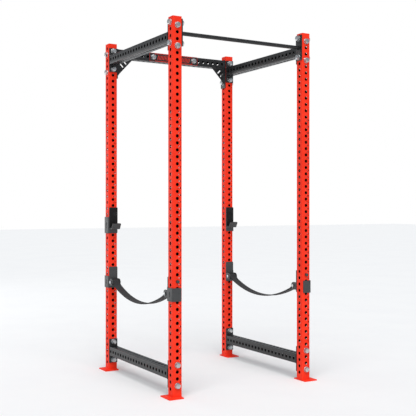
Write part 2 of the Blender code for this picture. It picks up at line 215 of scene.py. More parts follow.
def noise(tree, where, scale, detail=3.0, roughness=0.5):
    inputs = {"Vector": where, "Scale": scale, "Detail": detail, "Roughness": roughness}
    return add_node(tree, "ShaderNodeTexNoise", inputs).outputs["Fac"]


def math_node(tree, operation, first, second=0.0):
    return add_node(tree, "ShaderNodeMath", {0: first, 1: second}, operation=operation).outputs[0]


def make_coat_texture():
    """Sprayed powder: cloudy depth of colour, faint handling scuffs and an orange-peel skin."""
    tree, given, out = new_tree(
        "coat_texture",
        "ShaderNodeTree",
        {
            "Colour": (COLOUR, None),
            "Cloud Colour": (COLOUR, None),
            "Scuff Colour": (COLOUR, None),
            "Scuffs": (FLOAT, 0.3),
            "Roughness": (FLOAT, 0.4),
            "Cloud Scale": (FLOAT, 9.0),
            "Peel Scale": (FLOAT, 420.0),
        },
        {"Colour": COLOUR, "Roughness": FLOAT, "Height": FLOAT},
    )
    where = add_node(tree, "ShaderNodeTexCoord").outputs["Object"]
    clouds = noise(tree, where, given["Cloud Scale"], 4.0, 0.6)
    grit = noise(tree, where, 160.0, 2.0)
    cloudy = blend_colours(tree, remap(tree, clouds, 0.35, 0.68), given["Colour"], given["Cloud Colour"])
    speck = math_node(tree, "MULTIPLY", remap(tree, grit, 0.60, 0.74), given["Scuffs"])
    streaks = add_node(tree, "ShaderNodeMapping", {"Vector": where, "Scale": (34.0, 34.0, 5.0)}).outputs[0]
    scuffs = remap(tree, noise(tree, streaks, 1.0, 9.0, 0.72), 0.63, 0.75)
    rubbed = math_node(tree, "MULTIPLY", scuffs, given["Scuffs"])
    mask = math_node(tree, "MAXIMUM", speck, rubbed)
    tree.links.new(blend_colours(tree, mask, cloudy, given["Scuff Colour"]), out["Colour"])
    uneven = remap(tree, clouds, 0.3, 0.7, -0.05, 0.06)
    rough = math_node(tree, "ADD", given["Roughness"], uneven)
    tree.links.new(math_node(tree, "ADD", rough, math_node(tree, "MULTIPLY", mask, 0.2)), out["Roughness"])
    peel = noise(tree, where, given["Peel Scale"], 2.0, 0.4)
    swell = math_node(tree, "MULTIPLY", noise(tree, where, 60.0, 1.0), 0.6)
    tree.links.new(math_node(tree, "ADD", peel, swell), out["Height"])
    return tree


def make_plating_texture():
    """Bright zinc: patches of cooler and warmer metal, and fine lathe and handling marks."""
    tree, given, out = new_tree(
        "plating_texture",
        "ShaderNodeTree",
        {
            "Colour": (COLOUR, None),
            "Patch Colour": (COLOUR, None),
            "Roughness": (FLOAT, 0.3),
            "Patch Scale": (FLOAT, 70.0),
        },
        {"Colour": COLOUR, "Roughness": FLOAT, "Height": FLOAT},
    )
    where = add_node(tree, "ShaderNodeTexCoord").outputs["Object"]
    patches = noise(tree, where, given["Patch Scale"], 3.0, 0.6)
    mask = remap(tree, patches, 0.36, 0.66)
    tree.links.new(blend_colours(tree, mask, given["Colour"], given["Patch Colour"]), out["Colour"])
    marks = noise(tree, where, 900.0, 4.0, 0.7)
    uneven = remap(tree, marks, 0.3, 0.7, -0.06, 0.10)
    tree.links.new(math_node(tree, "ADD", given["Roughness"], uneven), out["Roughness"])
    tree.links.new(marks, out["Height"])
    return tree


def make_weave_texture():
    """Webbing: a plain weave of fat threads on the strap's own UV map, which is in metres."""
    tree, given, out = new_tree(
        "weave_texture",
        "ShaderNodeTree",
        {
            "Thread Colour": (COLOUR, None),
            "Valley Shade Colour": (COLOUR, None),
            "Warp": (FLOAT, 0.0022),
            "Weft": (FLOAT, 0.0030),
        },
        {"Colour": COLOUR, "Height": FLOAT},
    )
    place = add_node(tree, "ShaderNodeUVMap", uv_map="cloth").outputs[0]
    parts = add_node(tree, "ShaderNodeSeparateXYZ", {0: place}).outputs
    waves = []
    for part, size in ((parts[0], given["Warp"]), (parts[1], given["Weft"])):
        turns = math_node(tree, "DIVIDE", part, size)
        waves.append(math_node(tree, "SINE", math_node(tree, "MULTIPLY", turns, math.pi)))
    bumps = math_node(tree, "MULTIPLY", waves[0], waves[1])
    height = remap(tree, bumps, -1.0, 1.0)
    fuzz = noise(tree, add_node(tree, "ShaderNodeTexCoord").outputs["Object"], 700.0, 3.0, 0.6)
    # Painted shade: the colour runs from the dark valley shade up to the thread colour with the weave's
    # height, and a random fuzz varies the threads' tone.
    fuzz_and_valley_shade = math_node(tree, "MULTIPLY", remap(tree, fuzz, 0.35, 0.7, 0.5, 1.0), height)
    tree.links.new(blend_colours(tree, fuzz_and_valley_shade, given["Valley Shade Colour"], given["Thread Colour"]), out["Colour"])
    tree.links.new(math_node(tree, "ADD", height, math_node(tree, "MULTIPLY", fuzz, 0.4)), out["Height"])
    return tree


def make_moulded_texture():
    """Moulded plastic: a fine spark-eroded grain with slightly shiny rubbed patches."""
    tree, given, out = new_tree(
        "moulded_texture",
        "ShaderNodeTree",
        {
            "Colour": (COLOUR, None),
            "Rubbed Colour": (COLOUR, None),
            "Roughness": (FLOAT, 0.5),
            "Grain Scale": (FLOAT, 1100.0),
        },
        {"Colour": COLOUR, "Roughness": FLOAT, "Height": FLOAT},
    )
    where = add_node(tree, "ShaderNodeTexCoord").outputs["Object"]
    rubbed = remap(tree, noise(tree, where, 26.0, 5.0, 0.65), 0.48, 0.66)
    tree.links.new(blend_colours(tree, rubbed, given["Colour"], given["Rubbed Colour"]), out["Colour"])
    shine = math_node(tree, "MULTIPLY", rubbed, -0.14)
    tree.links.new(math_node(tree, "ADD", given["Roughness"], shine), out["Roughness"])
    grain = add_node(tree, "ShaderNodeTexVoronoi", {"Vector": where, "Scale": given["Grain Scale"]})
    tree.links.new(grain.outputs["Distance"], out["Height"])
    return tree


def textured(name, tree, values, bump, shading=None):
    """A material whose colour, roughness and bump come from a texture group."""
    made = bpy.data.materials.new(name)
    made.use_nodes = True
    nodes = made.node_tree
    shader = nodes.nodes["Principled BSDF"]
    for label, value in (shading or {}).items():
        shader.inputs[label].default_value = value
    group = add_node(nodes, "ShaderNodeGroup", node_tree=tree)
    for label, value in values.items():
        group.inputs[label].default_value = value
    nodes.links.new(group.outputs["Colour"], shader.inputs["Base Color"])
    if "Roughness" in group.outputs:
        nodes.links.new(group.outputs["Roughness"], shader.inputs["Roughness"])
    relief = {"Height": group.outputs["Height"], "Strength": bump[0], "Distance": bump[1]}
    nodes.links.new(add_node(nodes, "ShaderNodeBump", relief).outputs[0], shader.inputs["Normal"])
    return made


def make_materials():
    coat, plating = make_coat_texture(), make_plating_texture()
    weave, moulded = make_weave_texture(), make_moulded_texture()
    red = {
        "Colour": (0.92, 0.042, 0.017, 1),
        "Cloud Colour": (0.84, 0.034, 0.013, 1),
        "Scuff Colour": (0.90, 0.060, 0.035, 1),
        "Scuffs": 0.35,
        "Roughness": 0.42,
    }
    black = {
        "Colour": (0.010, 0.0105, 0.011, 1),
        "Cloud Colour": (0.016, 0.0165, 0.018, 1),
        "Scuff Colour": (0.060, 0.062, 0.065, 1),
        "Scuffs": 0.45,
        "Roughness": 0.33,
        "Cloud Scale": 14.0,
    }
    sign_black = {**black, "Colour": (0.010, 0.010, 0.011, 1), "Roughness": 0.34, "Scuffs": 0.2}
    sign_red = {**red, "Colour": (0.72, 0.020, 0.012, 1), "Roughness": 0.36, "Scuffs": 0.15}
    satin = {**black, "Colour": (0.040, 0.041, 0.042, 1), "Cloud Colour": (0.050, 0.051, 0.053, 1)}
    satin.update({"Scuff Colour": (0.11, 0.11, 0.115, 1), "Roughness": 0.44})
    # Painted shade: near-black for the tube's inside and the hole bores, which the real cage has coated like
    # its outside, so that the holes read dark.
    painted_shade = {**black, "Colour": (0.006, 0.006, 0.006, 1), "Cloud Colour": (0.010, 0.010, 0.010, 1)}
    painted_shade.update({"Scuffs": 0.0, "Roughness": 0.75})
    zinc = {
        "Colour": (0.46, 0.49, 0.52, 1),
        "Patch Colour": (0.62, 0.62, 0.60, 1),
        "Roughness": 0.30,
    }
    liner = {
        "Colour": (0.006, 0.006, 0.0065, 1),
        "Rubbed Colour": (0.016, 0.016, 0.017, 1),
        "Roughness": 0.58,
    }
    cloth = {"Thread Colour": (0.022, 0.022, 0.024, 1), "Valley Shade Colour": (0.004, 0.004, 0.005, 1)}
    thread = {**liner, "Colour": (0.050, 0.050, 0.055, 1), "Rubbed Colour": (0.085, 0.085, 0.09, 1)}
    floor = {
        **red,
        "Colour": (0.88, 0.88, 0.88, 1),
        "Cloud Colour": (0.86, 0.86, 0.865, 1),
        "Scuff Colour": (0.84, 0.84, 0.84, 1),
        "Scuffs": 0.2,
        "Roughness": 0.8,
        "Cloud Scale": 1.2,
    }
    woven = {"Roughness": 0.86, "Sheen Weight": 0.1}
    return {
        "red": textured("red_powder_coat", coat, red, (0.10, 0.0004), {"Specular IOR Level": 0.07}),
        "black": textured("black_powder_coat", coat, black, (0.16, 0.0004), {"Specular IOR Level": 0.42}),
        "satin": textured("bracket_powder_coat", coat, satin, (0.2, 0.0004), {"Specular IOR Level": 0.42}),
        "inside": textured("tube_inside_painted_shade", coat, painted_shade, (0.1, 0.0004), {"Specular IOR Level": 0.1}),
        "sign_black": textured("name_plate_black", coat, sign_black, (0.08, 0.0003)),
        "sign_red": textured("name_plate_red", coat, sign_red, (0.08, 0.0003), {"Specular IOR Level": 0.28}),
        "zinc": textured("zinc_plating", plating, zinc, (0.08, 0.0002), {"Metallic": 1.0}),
        "liner": textured("moulded_liner", moulded, liner, (0.25, 0.0002), {"Specular IOR Level": 0.2}),
        "webbing": textured("strap_webbing", weave, cloth, (0.7, 0.0006), woven),
        "thread": textured("strap_thread", moulded, thread, (0.4, 0.0002)),
        "floor": textured("studio_floor", coat, floor, (0.02, 0.0004)),
    }


# ------------------------------------------------------------------------------------------ geometry trees


def painted(tree, geometry, look):
    """The copies made real, with their finish."""
    real = add_node(tree, "GeometryNodeRealizeInstances", {0: geometry}).outputs[0]
    return add_node(tree, "GeometryNodeSetMaterial", {"Geometry": real, "Material": look}).outputs[0]


def make_row_tree():
    """Repeats a small mesh along a line and welds the copies into one surface."""
    tree, given, out = new_tree(
        "parts_in_a_row",
        "GeometryNodeTree",
        {
            "Part": (GEOMETRY, None),
            "Count": (INTEGER, 2),
            "Start": (VECTOR, None),
            "Step": (VECTOR, None),
            "Weld Distance": (FLOAT, 0.00001),
            "Finish": (MATERIAL, None),
            "Inside Painted Shade": (MATERIAL, None),
        },
        {"Row": GEOMETRY},
    )
    places = {"Count": given["Count"], "Start Location": given["Start"], "Offset": given["Step"]}
    line = add_node(tree, "GeometryNodeMeshLine", places).outputs[0]
    copies = add_node(tree, "GeometryNodeInstanceOnPoints", {"Points": line, "Instance": given["Part"]})
    real = add_node(tree, "GeometryNodeRealizeInstances", {0: copies.outputs[0]}).outputs[0]
    joint = {"Geometry": real, "Distance": given["Weld Distance"]}
    welded = add_node(tree, "GeometryNodeMergeByDistance", joint).outputs[0]
    outside = {"Geometry": welded, "Material": given["Finish"]}
    coated = add_node(tree, "GeometryNodeSetMaterial", outside).outputs[0]
    # Faces marked inside get the painted-shade material.
    inside = add_node(tree, "GeometryNodeInputNamedAttribute", {"Name": "inside"}, data_type="BOOLEAN")
    painted_shade = {"Geometry": coated, "Selection": inside.outputs[0], "Material": given["Inside Painted Shade"]}
    tree.links.new(add_node(tree, "GeometryNodeSetMaterial", painted_shade).outputs[0], out["Row"])
    return tree


def make_bolt_tree():
    """Puts a head, a shaft and a nut through each point, along the point's own facing and grip."""
    tree, given, out = new_tree(
        "bolts_through_plates",
        "GeometryNodeTree",
        {
            "Places": (GEOMETRY, None),
            "Head": (OBJECT, None),
            "Shaft": (OBJECT, None),
            "Nut": (OBJECT, None),
            "Twist": (FLOAT, 0.1),
            "Seed": (INTEGER, 0),
            "Finish": (MATERIAL, None),
        },
        {"Bolts": GEOMETRY},
    )
    facing = add_node(tree, "GeometryNodeInputNamedAttribute", {"Name": "facing"}, data_type="FLOAT_VECTOR")
    grip = add_node(tree, "GeometryNodeInputNamedAttribute", {"Name": "grip"}, data_type="FLOAT")
    axes = {"Primary Axis": facing.outputs[0], "Secondary Axis": (0, 0, 1)}
    square = add_node(tree, "FunctionNodeAxesToRotation", axes, primary_axis="Z", secondary_axis="Y")
    least = math_node(tree, "MULTIPLY", given["Twist"], -1.0)
    spread = {2: least, 3: given["Twist"], "Seed": given["Seed"]}
    twist = add_node(tree, "FunctionNodeRandomValue", spread, data_type="FLOAT").outputs[1]
    about = add_node(tree, "FunctionNodeAxisAngleToRotation", {"Axis": (0, 0, 1), "Angle": twist})
    both = {"Rotation": square.outputs[0], "Rotate By": about.outputs[0]}
    turned = add_node(tree, "FunctionNodeRotateRotation", both, rotation_space="LOCAL").outputs[0]

    far = math_node(tree, "MULTIPLY", grip.outputs[0], -1.0)
    across = add_node(tree, "ShaderNodeVectorMath", {0: facing.outputs[0]}, operation="SCALE")
    tree.links.new(far, across.inputs["Scale"])
    moved = {"Geometry": given["Places"], "Offset": across.outputs[0]}
    back = add_node(tree, "GeometryNodeSetPosition", moved).outputs[0]
    stretch = add_node(tree, "ShaderNodeCombineXYZ", {0: 1.0, 1: 1.0, 2: grip.outputs[0]}).outputs[0]

    joined = add_node(tree, "GeometryNodeJoinGeometry")
    pieces = (("Head", given["Places"], None), ("Shaft", back, stretch), ("Nut", back, None))
    for label, points, scale in pieces:
        shape = add_node(tree, "GeometryNodeObjectInfo", {"Object": given[label]}).outputs["Geometry"]
        put = {"Points": points, "Instance": shape, "Rotation": turned}
        if scale is not None:
            put["Scale"] = scale
        copies = add_node(tree, "GeometryNodeInstanceOnPoints", put).outputs[0]
        tree.links.new(copies, joined.inputs[0])
    tree.links.new(painted(tree, joined.outputs[0], given["Finish"]), out["Bolts"])
    return tree


def make_bead_tree():
    """A rippled weld bead along a closed line."""
    tree, given, out = new_tree(
        "weld_bead",
        "GeometryNodeTree",
        {
            "Seam": (GEOMETRY, None),
            "Radius": (FLOAT, 0.0026),
            "Ripple": (FLOAT, 0.003),
            "Ripple Depth": (FLOAT, 0.16),
            "Sides": (INTEGER, 6),
            "Finish": (MATERIAL, None),
        },
        {"Bead": GEOMETRY},
    )
    line = add_node(tree, "GeometryNodeMeshToCurve", {0: given["Seam"]}).outputs[0]
    even = add_node(tree, "GeometryNodeResampleCurve", {"Curve": line, 3: given["Ripple"]}, mode="LENGTH")
    index = add_node(tree, "GeometryNodeInputIndex").outputs[0]
    dip = math_node(tree, "MULTIPLY", math_node(tree, "MODULO", index, 2.0), given["Ripple Depth"])
    fat = math_node(tree, "SUBTRACT", 1.0, dip)
    radii = {"Curve": even.outputs[0], "Radius": math_node(tree, "MULTIPLY", fat, given["Radius"])}
    shaped = add_node(tree, "GeometryNodeSetCurveRadius", radii).outputs[0]
    ring = add_node(tree, "GeometryNodeCurvePrimitiveCircle", {"Resolution": given["Sides"], "Radius": 1.0})
    reach = add_node(tree, "GeometryNodeInputRadius").outputs[0]
    swept = {"Curve": shaped, "Profile Curve": ring.outputs[0], "Scale": reach}
    bead = add_node(tree, "GeometryNodeCurveToMesh", swept)
    tree.links.new(painted(tree, bead.outputs[0], given["Finish"]), out["Bead"])
    return tree


def make_stitch_tree():
    """Stitches of one length along a line that lies in a plane of constant X."""
    tree, given, out = new_tree(
        "stitches_on_a_line",
        "GeometryNodeTree",
        {
            "Seam": (GEOMETRY, None),
            "Stitch": (OBJECT, None),
            "Spacing": (FLOAT, 0.007),
            "Finish": (MATERIAL, None),
        },
        {"Stitches": GEOMETRY},
    )
    line = add_node(tree, "GeometryNodeMeshToCurve", {0: given["Seam"]}).outputs[0]
    even = add_node(tree, "GeometryNodeResampleCurve", {"Curve": line, 3: given["Spacing"]}, mode="LENGTH")
    along = add_node(tree, "GeometryNodeInputTangent").outputs[0]
    axes = {"Primary Axis": along, "Secondary Axis": (1, 0, 0)}
    square = add_node(tree, "FunctionNodeAxesToRotation", axes, primary_axis="Y", secondary_axis="X")
    shape = add_node(tree, "GeometryNodeObjectInfo", {"Object": given["Stitch"]}).outputs["Geometry"]
    put = {"Points": even.outputs[0], "Instance": shape, "Rotation": square.outputs[0]}
    copies = add_node(tree, "GeometryNodeInstanceOnPoints", put).outputs[0]
    tree.links.new(painted(tree, copies, given["Finish"]), out["Stitches"])
    return tree


# ------------------------------------------------------------------------------------------------- meshes


def link_object(name, mesh):
    obj = bpy.data.objects.new(name, mesh)
    bpy.context.scene.collection.objects.link(obj)
    return obj


def mesh_of(bm, name="shape"):
    mesh = bpy.data.meshes.new(name)
    bm.to_mesh(mesh)
    bm.free()
    return mesh


def evaluated(obj):
    """The plain mesh that an object's modifiers make. The object itself is removed."""
    graph = bpy.context.evaluated_depsgraph_get()
    made = bpy.data.meshes.new_from_object(
        obj.evaluated_get(graph), preserve_all_data_layers=True, depsgraph=graph
    )
    source = obj.data
    bpy.data.objects.remove(obj)
    bpy.data.meshes.remove(source)
    return made


def grow(tree, mesh, values):
    """The plain mesh that a geometry tree makes from a small one."""
    seed = link_object("seed", mesh)
    modifier = seed.modifiers.new("Grow", "NODES")
    modifier.node_group = tree
    for item in tree.interface.items_tree:
        if item.name in values and item.in_out == "INPUT":
            modifier[item.identifier] = values[item.name]
    grown = evaluated(seed)
    finishes = [values["Finish"], values.get("Inside Painted Shade")]
    for face in grown.polygons:
        face.material_index = finishes.index(grown.materials[face.material_index])
    return grown


def carve(bm, operation, helper):
    """One shape joined to another, or cut by it."""
    for shape in (bm, helper):
        bmesh.ops.recalc_face_normals(shape, faces=shape.faces)
    target, tool = link_object("target", mesh_of(bm)), link_object("tool", mesh_of(helper))
    modifier = target.modifiers.new("Carve", "BOOLEAN")
    modifier.operation = operation
    modifier.solver = "EXACT"
    modifier.object = tool
    made = evaluated(target)
    tool_mesh = tool.data
    bpy.data.objects.remove(tool)
    bpy.data.meshes.remove(tool_mesh)
    return add_mesh(bmesh.new(), made)


def soften(bm, width, angle=32, cuts=2):
    """Rounds every edge sharper than the angle."""
    bmesh.ops.remove_doubles(bm, verts=bm.verts, dist=1e-6)
    bmesh.ops.recalc_face_normals(bm, faces=bm.faces)
    limit = math.radians(angle)
    sharp = [e for e in bm.edges if len(e.link_faces) == 2 and e.calc_face_angle() > limit]
    shape = {"offset": width, "segments": cuts, "profile": 0.5, "affect": "EDGES", "clamp_overlap": True}
    made = bmesh.ops.bevel(bm, geom=sharp, **shape)
    for face in made["faces"]:
        face.smooth = True
    return bm


def finished(name, shapes, looks, body, replaced):
    """One piece from several shapes, which are bmeshes or meshes, riding on its body."""
    whole = bmesh.new()
    for shape in shapes:
        add_mesh(whole, shape if isinstance(shape, bpy.types.Mesh) else mesh_of(shape))
    mesh = mesh_of(whole, name)
    mesh.set_sharp_from_angle(angle=math.radians(38))
    for look in looks:
        mesh.materials.append(look)
    piece = link_object(name, mesh)
    if body is not None:
        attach(piece, body)
    if replaced:
        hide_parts(*replaced)
    return piece


def transform(bm, matrix):
    bmesh.ops.transform(bm, matrix=matrix, verts=bm.verts)
    if matrix.determinant() < 0:
        bmesh.ops.reverse_faces(bm, faces=bm.faces)
    return bm


def to_corner(shapes, side, end, height):
    """Moves shapes from the origin to a corner of the cage, mirrored to face into it."""
    sx, sy = SIDES[side], ENDS[end]
    mirror = Matrix.Diagonal((sx, sy, 1, 1))
    matrix = Matrix.Translation((sx * CENTRE, sy * CENTRE, height)) @ mirror
    return [transform(shape, matrix) for shape in shapes]


def add_mesh(bm, mesh):
    """Adds a mesh to the shape and removes it."""
    bm.from_mesh(mesh)
    bpy.data.meshes.remove(mesh)
    return bm


def ring_of(points):
    """A closed line, as a mesh of edges."""
    mesh = bpy.data.meshes.new("line")
    count = len(points)
    mesh.from_pydata(points, [(i, (i + 1) % count) for i in range(count)], [])
    return mesh


def line_of(points):
    """An open line, as a mesh of edges."""
    mesh = bpy.data.meshes.new("line")
    mesh.from_pydata(points, [(i, i + 1) for i in range(len(points) - 1)], [])
    return mesh


def place(axis, along, u, v):
    """The point at `along` on the axis and (u, v) across it, in the order of the other two axes."""
    return {"X": (along, u, v), "Y": (u, along, v), "Z": (u, v, along)}[axis]


def bridge(bm, first, second, smooth):
    count = len(first)
    faces = [bm.faces.new((first[i], first[i - 1], second[i - 1], second[i])) for i in range(count)]
    for face in faces:
        face.smooth = smooth
    return faces


def add_prism(bm, outline, axis, low, high, smooth=False):
    rings = [[bm.verts.new(place(axis, end, u, v)) for u, v in outline] for end in (low, high)]
    bm.faces.new(rings[0])
    bm.faces.new(rings[1])
    bridge(bm, *rings, smooth)
    return bm


def prism(outline, axis, low, high, smooth=False):
    return add_prism(bmesh.new(), outline, axis, low, high, smooth)


def circle(u, v, radius, sides):
    turns = [2 * math.pi * i / sides for i in range(sides)]
    return [(u + radius * math.cos(t), v + radius * math.sin(t)) for t in turns]


def rounded(low, high, radius, steps=5):
    """A rectangle with round corners, anticlockwise."""
    centres = (
        (high[0] - radius, high[1] - radius),
        (low[0] + radius, high[1] - radius),
        (low[0] + radius, low[1] + radius),
        (high[0] - radius, low[1] + radius),
    )
    points = []
    for quarter, (u, v) in enumerate(centres):
        for i in range(steps + 1):
            t = math.pi / 2 * (quarter + i / steps)
            points.append((u + radius * math.cos(t), v + radius * math.sin(t)))
    return points


def slot_outline(u, v, length, width, angle, steps=8):
    """A round-ended slot about (u, v), turned by the angle."""
    reach = (length - width) / 2
    points = []
    for end in (0, 1):
        for i in range(steps + 1):
            t = math.pi * (i / steps - 0.5 + end)
            along = reach * (1 - 2 * end) + width / 2 * math.cos(t)
            across = width / 2 * math.sin(t)
            points.append(
                (
                    u + along * math.cos(angle) - across * math.sin(angle),
                    v + along * math.sin(angle) + across * math.cos(angle),
                )
            )
    return points


def bend_line(points, radius, steps=6):
    """A line whose inner corners are arcs of that radius."""
    line = [Vector(p) for p in points]
    made = [line[0]]
    for before, corner, after in zip(line, line[1:], line[2:]):
        back, ahead = (before - corner).normalized(), (after - corner).normalized()
        half = back.angle(ahead) / 2
        centre = corner + (back + ahead).normalized() * (radius / math.sin(half))
        start = corner + back * (radius / math.tan(half)) - centre
        finish = corner + ahead * (radius / math.tan(half)) - centre
        turn = -start.angle_signed(finish)
        for i in range(steps + 1):
            made.append(centre + Matrix.Rotation(turn * i / steps, 2) @ start)
    made.append(line[-1])
    return made


def thicken(line, thickness, offset=0.0):
    """The outline of a strip of that thickness along a line, moved to its left by the offset."""
    sides = {}
    for distance in (offset + thickness / 2, offset - thickness / 2):
        moved = []
        for i, point in enumerate(line):
            before = (point - line[i - 1]).normalized() if i else None
            after = (line[i + 1] - point).normalized() if i + 1 < len(line) else None
            ways = [w for w in (before, after) if w is not None]
            normals = [Vector((-w.y, w.x)) for w in ways]
            middle = sum(normals, Vector((0, 0))).normalized()
            moved.append(tuple(point + middle * (distance / middle.dot(normals[0]))))
        sides[distance] = moved
    left, right = sides.values()
    return right + left[::-1]


# ---------------------------------------------------------------------------------------- perforated tubes


def wall_edge(stops):
    """A flat length of wall, anticlockwise from its lower right, with points at these heights."""
    across = HALF - CORNER
    steps = [across * (1 - 2 * i / END_CUTS) for i in range(1, END_CUTS)]
    right = [(across, z) for z in stops]
    left = [(-across, z) for z in reversed(stops)]
    return right + [(x, stops[-1]) for x in steps] + left + [(x, stops[0]) for x in reversed(steps)]


def hole_bay(stops):
    """One hole's length of the tube wall that faces -Y, through its whole thickness."""
    edge = wall_edge(stops)
    count = len(edge)

    def ring(radius):
        turns = [2 * math.pi * (i - (len(stops) - 1) / 2) / count for i in range(count)]
        return [(radius * math.cos(t), radius * math.sin(t)) for t in turns]

    bm = bmesh.new()
    outside, inside = -HALF, -HALF + WALL
    layers = (
        (edge, outside),
        (ring(HOLE_R + RIM), outside),
        (ring(HOLE_R), outside + RIM),
        (ring(HOLE_R), inside),
        (edge, inside),
    )
    # Faces past each hole's rim chamfer are marked inside and get the painted-shade material.
    inside_mark = bm.faces.layers.bool.new("inside")
    rings = [[bm.verts.new((u, y, v)) for u, v in points] for points, y in layers]
    for level, (first, second) in enumerate(zip(rings, rings[1:])):
        for face in bridge(bm, first, second, smooth=level in (1, 2)):
            face[inside_mark] = level > 1
    return bm


def digit_slots(digit, centre):
    """The slots of one stencilled digit, as outlines of (x, z)."""
    wide, high, stroke = DIGIT_SIZE
    x1, x2, z1, z2 = wide / 2 - stroke, wide / 2, DIGIT_BRIDGE / 2, high / 2
    bar, half = x1 - DIGIT_BRIDGE, stroke / 2
    boxes = {
        "a": (-bar, z2 - stroke, bar, z2),
        "b": (x1, z1, x2, z2),
        "c": (x1, -z2, x2, -z1),
        "d": (-bar, -z2, bar, stroke - z2),
        "e": (-x2, -z2, -x1, -z1),
        "f": (-x2, z1, -x1, z2),
        "g": (-bar, -half, bar, half),
    }
    slots = []
    for name in DIGIT_SLOTS[digit]:
        left, low, right, top = boxes[name]
        corners = ((right, low), (right, top), (left, top), (left, low))
        slots.append([(centre + x, z) for x, z in corners])
    return slots


def numbered_strip(number):
    """The plain wall between two holes, with a position number cut through it, or no number."""
    loops = [wall_edge((-STRIP / 2, STRIP / 2))]
    if number:
        loops += digit_slots(number % 10, UNITS_AT)
    if number >= 10:
        loops += digit_slots(number // 10, TENS_AT)
    # Index 1 is the painted-shade material, for the inner skin and the walls of the digit slots.
    bm = bmesh.new()
    skins = []
    for y in (-HALF, -HALF + WALL):
        rings = [[bm.verts.new((x, y, z)) for x, z in loop] for loop in loops]
        edges = [bm.edges.new((ring[i - 1], ring[i])) for ring in rings for i in range(len(ring))]
        filled = bmesh.ops.triangle_fill(bm, edges=edges, use_beauty=True, normal=(0, -1, 0))
        for face in filled["geom"]:
            if isinstance(face, bmesh.types.BMFace):
                face.material_index = int(y > -HALF)
        skins.append(rings)
    for outer, inner in zip(skins[0][1:], skins[1][1:]):
        for face in bridge(bm, outer, inner, smooth=False):
            face.material_index = 1
    return bm


def add_quad(bm, corners, smooth, inside=False):
    face = bm.faces.new([bm.verts.new(corner) for corner in corners])
    face.smooth = smooth
    face.material_index = int(inside)


def wall_section():
    """The tube's section on the side that faces -Y, from its left corner to past its right one.

    Each point is (outer, inner, on the round corner)."""
    across = HALF - CORNER
    flat = [-across + 2 * across * i / END_CUTS for i in range(END_CUTS + 1)]
    section = [((x, -HALF), (x, -HALF + WALL), False) for x in flat]
    for i in range(1, ARC_CUTS + 1):
        t = math.pi / 2 * (i / ARC_CUTS - 1)
        way = Vector((math.cos(t), math.sin(t)))
        middle = Vector((across, -across))
        section.append((tuple(middle + way * CORNER), tuple(middle + way * (CORNER - WALL)), True))
    return section


def perforated_tube(low, high, rows, stops, trees, coat, inside, numbers=0):
    """A square tube up the Z axis. rows gives the first hole and the count for the faces -Y, +X, +Y and -X.

    stops are the heights about a hole where the walls' edges have points, for the Y and the X faces.
    With numbers, each strip above a hole of a Y face has its position cut through it, up to that number."""
    # inside is the painted-shade material for the hole bores and the tube's inner skin.
    heights = {low, high}
    for (first, count), marks in zip(rows, stops * 2):
        heights.update(round(first + k * PITCH + mark, 6) for k in range(count) for mark in marks)
    heights = sorted(heights)
    section = wall_section()
    tube = bmesh.new()
    for quarter, ((first, count), marks) in enumerate(zip(rows, stops * 2)):
        side = bmesh.new()
        values = {"Count": count, "Start": (0, 0, first), "Step": (0, 0, PITCH)}
        values.update({"Finish": coat, "Inside Painted Shade": inside})
        add_mesh(side, grow(trees["row"], mesh_of(hole_bay(marks)), values))
        bottom, top = first + marks[0], first + (count - 1) * PITCH + marks[-1]
        if marks[-1] < PITCH / 2:
            for k in range(count):
                strip = numbered_strip(k + 1 if k < numbers else 0)
                transform(strip, Matrix.Translation((0, 0, first + (k + 0.5) * PITCH)))
                add_mesh(side, mesh_of(strip))
            top += STRIP
        for z0, z1 in zip(heights, heights[1:]):
            in_row = bottom < (z0 + z1) / 2 < top
            for (a_out, a_in, _), (b_out, b_in, round_part) in zip(section, section[1:]):
                if in_row and not round_part:
                    continue
                for a, b, hidden in ((a_out, b_out, False), (a_in, b_in, True)):
                    add_quad(side, ((*a, z0), (*b, z0), (*b, z1), (*a, z1)), round_part, hidden)
        for z in (low, high):
            for (a_out, a_in, _), (b_out, b_in, _) in zip(section, section[1:]):
                add_quad(side, ((*a_out, z), (*b_out, z), (*b_in, z), (*a_in, z)), False)
        transform(side, Matrix.Rotation(quarter * math.pi / 2, 4, "Z"))
        add_mesh(tube, mesh_of(side))
    bmesh.ops.remove_doubles(tube, verts=tube.verts, dist=1e-5)
    bmesh.ops.recalc_face_normals(tube, faces=tube.faces)
    return tube


def weld_round(outline, axis, along, trees, look):
    """A bead on a closed outline that lies across an axis."""
    points = [place(axis, along, u, v) for u, v in outline]
    values = {"Radius": BEAD_R, "Ripple": RIPPLE, "Ripple Depth": RIPPLE_DEPTH, "Sides": 6, "Finish": look}
    mesh = grow(trees["bead"], ring_of(points), values)
    mesh.shade_smooth()
    return mesh


def square_seam(u, v):
    """Where a tube about (u, v) meets a plate."""
    reach = HALF + BEAD_SINK
    return rounded((u - reach, v - reach), (u + reach, v + reach), CORNER + BEAD_SINK, 4)


